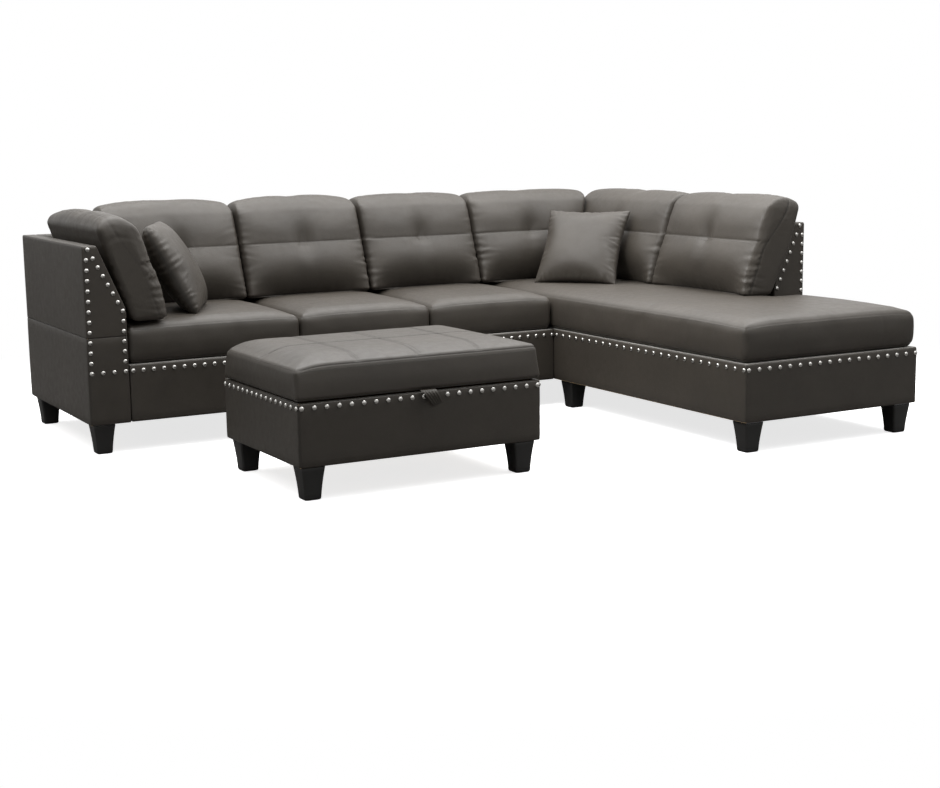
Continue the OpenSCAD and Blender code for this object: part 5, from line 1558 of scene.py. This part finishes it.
class SOFA_OT_stage(Operator):
    """Pale floor, soft studio light and the photograph's camera"""
    bl_idname = "sofa.stage"
    bl_label = "Stage"

    def execute(self, context):
        scene = context.scene
        scene.view_settings.view_transform = "Standard"
        self.world(scene)
        self.floor()
        self.lamp("overhead", (0.7, 0.3, 3.4), (0.6, 0.1, 0.4), 5.6, 4.4, 352)
        self.lamp("front_high", (1.9, -3.2, 4.3), (0.3, 0.5, 0.6), 4.2, 1.6, 46)
        self.lamp("left_high", (-3.2, 0.4, 3.5), (0.2, 0.0, 0.3), 2.6, 2.0, 50)
        self.lamp("chaise_fill", (-1.0, -0.7, 2.4), (1.15, -0.35, 0.30), 1.0, 1.0, 6.0, 60)
        self.camera(scene)
        return {"FINISHED"}

    def camera(self, scene):
        yaw, pitch, roll = (math.radians(a) for a in (28.94, 9.22, -0.88))
        forward = Vector((math.sin(yaw) * math.cos(pitch), math.cos(yaw) * math.cos(pitch),
                          -math.sin(pitch)))
        right = Vector((math.cos(yaw), -math.sin(yaw), 0))
        up = right.cross(forward)
        turned_right = right * math.cos(roll) + up * math.sin(roll)
        turned_up = up * math.cos(roll) - right * math.sin(roll)
        turn = Matrix((turned_right, turned_up, -forward)).transposed().to_4x4()
        data = bpy.data.cameras.new("photo_camera")
        data.lens, data.sensor_width, data.sensor_fit = 62.03, 36.0, "HORIZONTAL"
        data.clip_end = 200
        camera = bpy.data.objects.new("photo_camera", data)
        camera.matrix_world = Matrix.Translation((-2.8151, -5.1938, 1.0818)) @ turn
        scene.collection.objects.link(camera)
        scene.camera = camera

    def lamp(self, name, at, target, width, height, power, spread=180):
        data = bpy.data.lights.new(name, "AREA")
        data.spread = math.radians(spread)
        data.shape, data.size, data.size_y, data.energy = "RECTANGLE", width, height, power
        lamp = bpy.data.objects.new(name, data)
        lamp.location = at
        lamp.rotation_euler = (Vector(target) - Vector(at)).to_track_quat("-Z", "Y").to_euler()
        bpy.context.scene.collection.objects.link(lamp)

    def shown_rays(self, n, glossy=False):
        """1 for rays that come straight from the camera, and with glossy also off a shiny surface."""
        path = n.add("ShaderNodeLightPath")
        other = path.outputs["Is Glossy Ray"] if glossy else 0.0
        return n.add("ShaderNodeMath", {0: path.outputs["Is Camera Ray"], 1: other},
                     operation="MAXIMUM").outputs[0]

    def world(self, scene):
        """Dim white light all round, behind which shown rays see plain white."""
        world = bpy.data.worlds.new("studio")
        scene.world = world
        world.use_nodes = True
        n = Nodes(world.node_tree)
        dim, white = (n.add("ShaderNodeBackground", {"Color": (1, 1, 1), "Strength": strength})
                      for strength in (0.16, 1.0))
        shown = n.shaders(self.shown_rays(n, glossy=True), dim.outputs[0], white.outputs[0])
        n.add("ShaderNodeOutputWorld", {"Surface": shown})

    def floor(self):
        """A round floor: dark to the light, so that it throws little back, and pale to the camera, with
        the sofa's shadow, turning to plain white further out."""
        rings, sides = (0.0, 2.0, 5.0, 12.0, 60.0), 64
        points, quads = [(0.0, 0.0, 0.0)], []
        for r in rings[1:]:
            angles = [2 * math.pi * k / sides for k in range(sides)]
            points += [(r * math.cos(angle), r * math.sin(angle), 0.0) for angle in angles]
        for k in range(sides):
            quads.append((0, 1 + k, 1 + (k + 1) % sides))
        for ring in range(len(rings) - 2):
            a, b = 1 + ring * sides, 1 + (ring + 1) * sides
            quads += [(a + k, b + k, b + (k + 1) % sides, a + (k + 1) % sides) for k in range(sides)]
        floor = mesh_object("studio_floor", points, quads)
        material = bpy.data.materials.new("studio_floor")
        material.use_nodes = True
        n = Nodes(material.node_tree)
        dull = n.add("ShaderNodeBsdfDiffuse", {"Color": (0.17, 0.165, 0.16)}).outputs[0]
        pale = n.add("ShaderNodeBsdfDiffuse", {"Color": tuple(colours().floor)}).outputs[0]
        glow, white = (n.add("ShaderNodeEmission", {"Strength": strength}).outputs[0]
                       for strength in (0.76, 1.0))
        near = n.add("ShaderNodeAddShader", {0: pale, 1: glow}).outputs[0]
        where = n.add("ShaderNodeTexCoord").outputs["Object"]
        distance = n.add("ShaderNodeVectorMath", {0: where}, operation="LENGTH").outputs["Value"]
        spread = n.add("ShaderNodeMapRange", {"From Min": 1.9, "From Max": 3.1, "Value": distance},
                       interpolation_type="SMOOTHSTEP").outputs["Result"]
        seen = n.shaders(self.shown_rays(n), dull, n.shaders(spread, near, white))
        n.add("ShaderNodeOutputMaterial", {"Surface": seen})
        floor.data.materials.append(material)


class SOFA_PT_panel(Panel):
    """Lists the steps that build the sectional's looks"""
    bl_idname = "SOFA_PT_panel"
    bl_label = "Sectional sofa"
    bl_space_type = "VIEW_3D"
    bl_region_type = "UI"
    bl_category = "Sofa"

    def draw(self, context):
        for step in STEPS:
            self.layout.operator(step.bl_idname)
        for group in (context.scene.sofa_sizes, context.scene.sofa_colours):
            for name in group.__annotations__:
                self.layout.prop(group, name)


STEPS = (SOFA_OT_stage, SOFA_OT_finishes, SOFA_OT_bases, SOFA_OT_walls, SOFA_OT_seats, SOFA_OT_lid,
         SOFA_OT_backs, SOFA_OT_pillows, SOFA_OT_filling, SOFA_OT_legs, SOFA_OT_tab, SOFA_OT_decks,
         SOFA_OT_nails, SOFA_OT_stitches)
CLASSES = (SofaSizes, SofaColours, *STEPS, SOFA_PT_panel)


def register():
    for kind in CLASSES:
        bpy.utils.register_class(kind)
    bpy.types.Scene.sofa_sizes = PointerProperty(type=SofaSizes)
    bpy.types.Scene.sofa_colours = PointerProperty(type=SofaColours)


def unregister():
    del bpy.types.Scene.sofa_colours
    del bpy.types.Scene.sofa_sizes
    for kind in reversed(CLASSES):
        bpy.utils.unregister_class(kind)


def main():
    register()
    for step in STEPS:
        group, name = step.bl_idname.split(".")
        getattr(getattr(bpy.ops, group), name)()


if __name__ == "__main__":
    main()
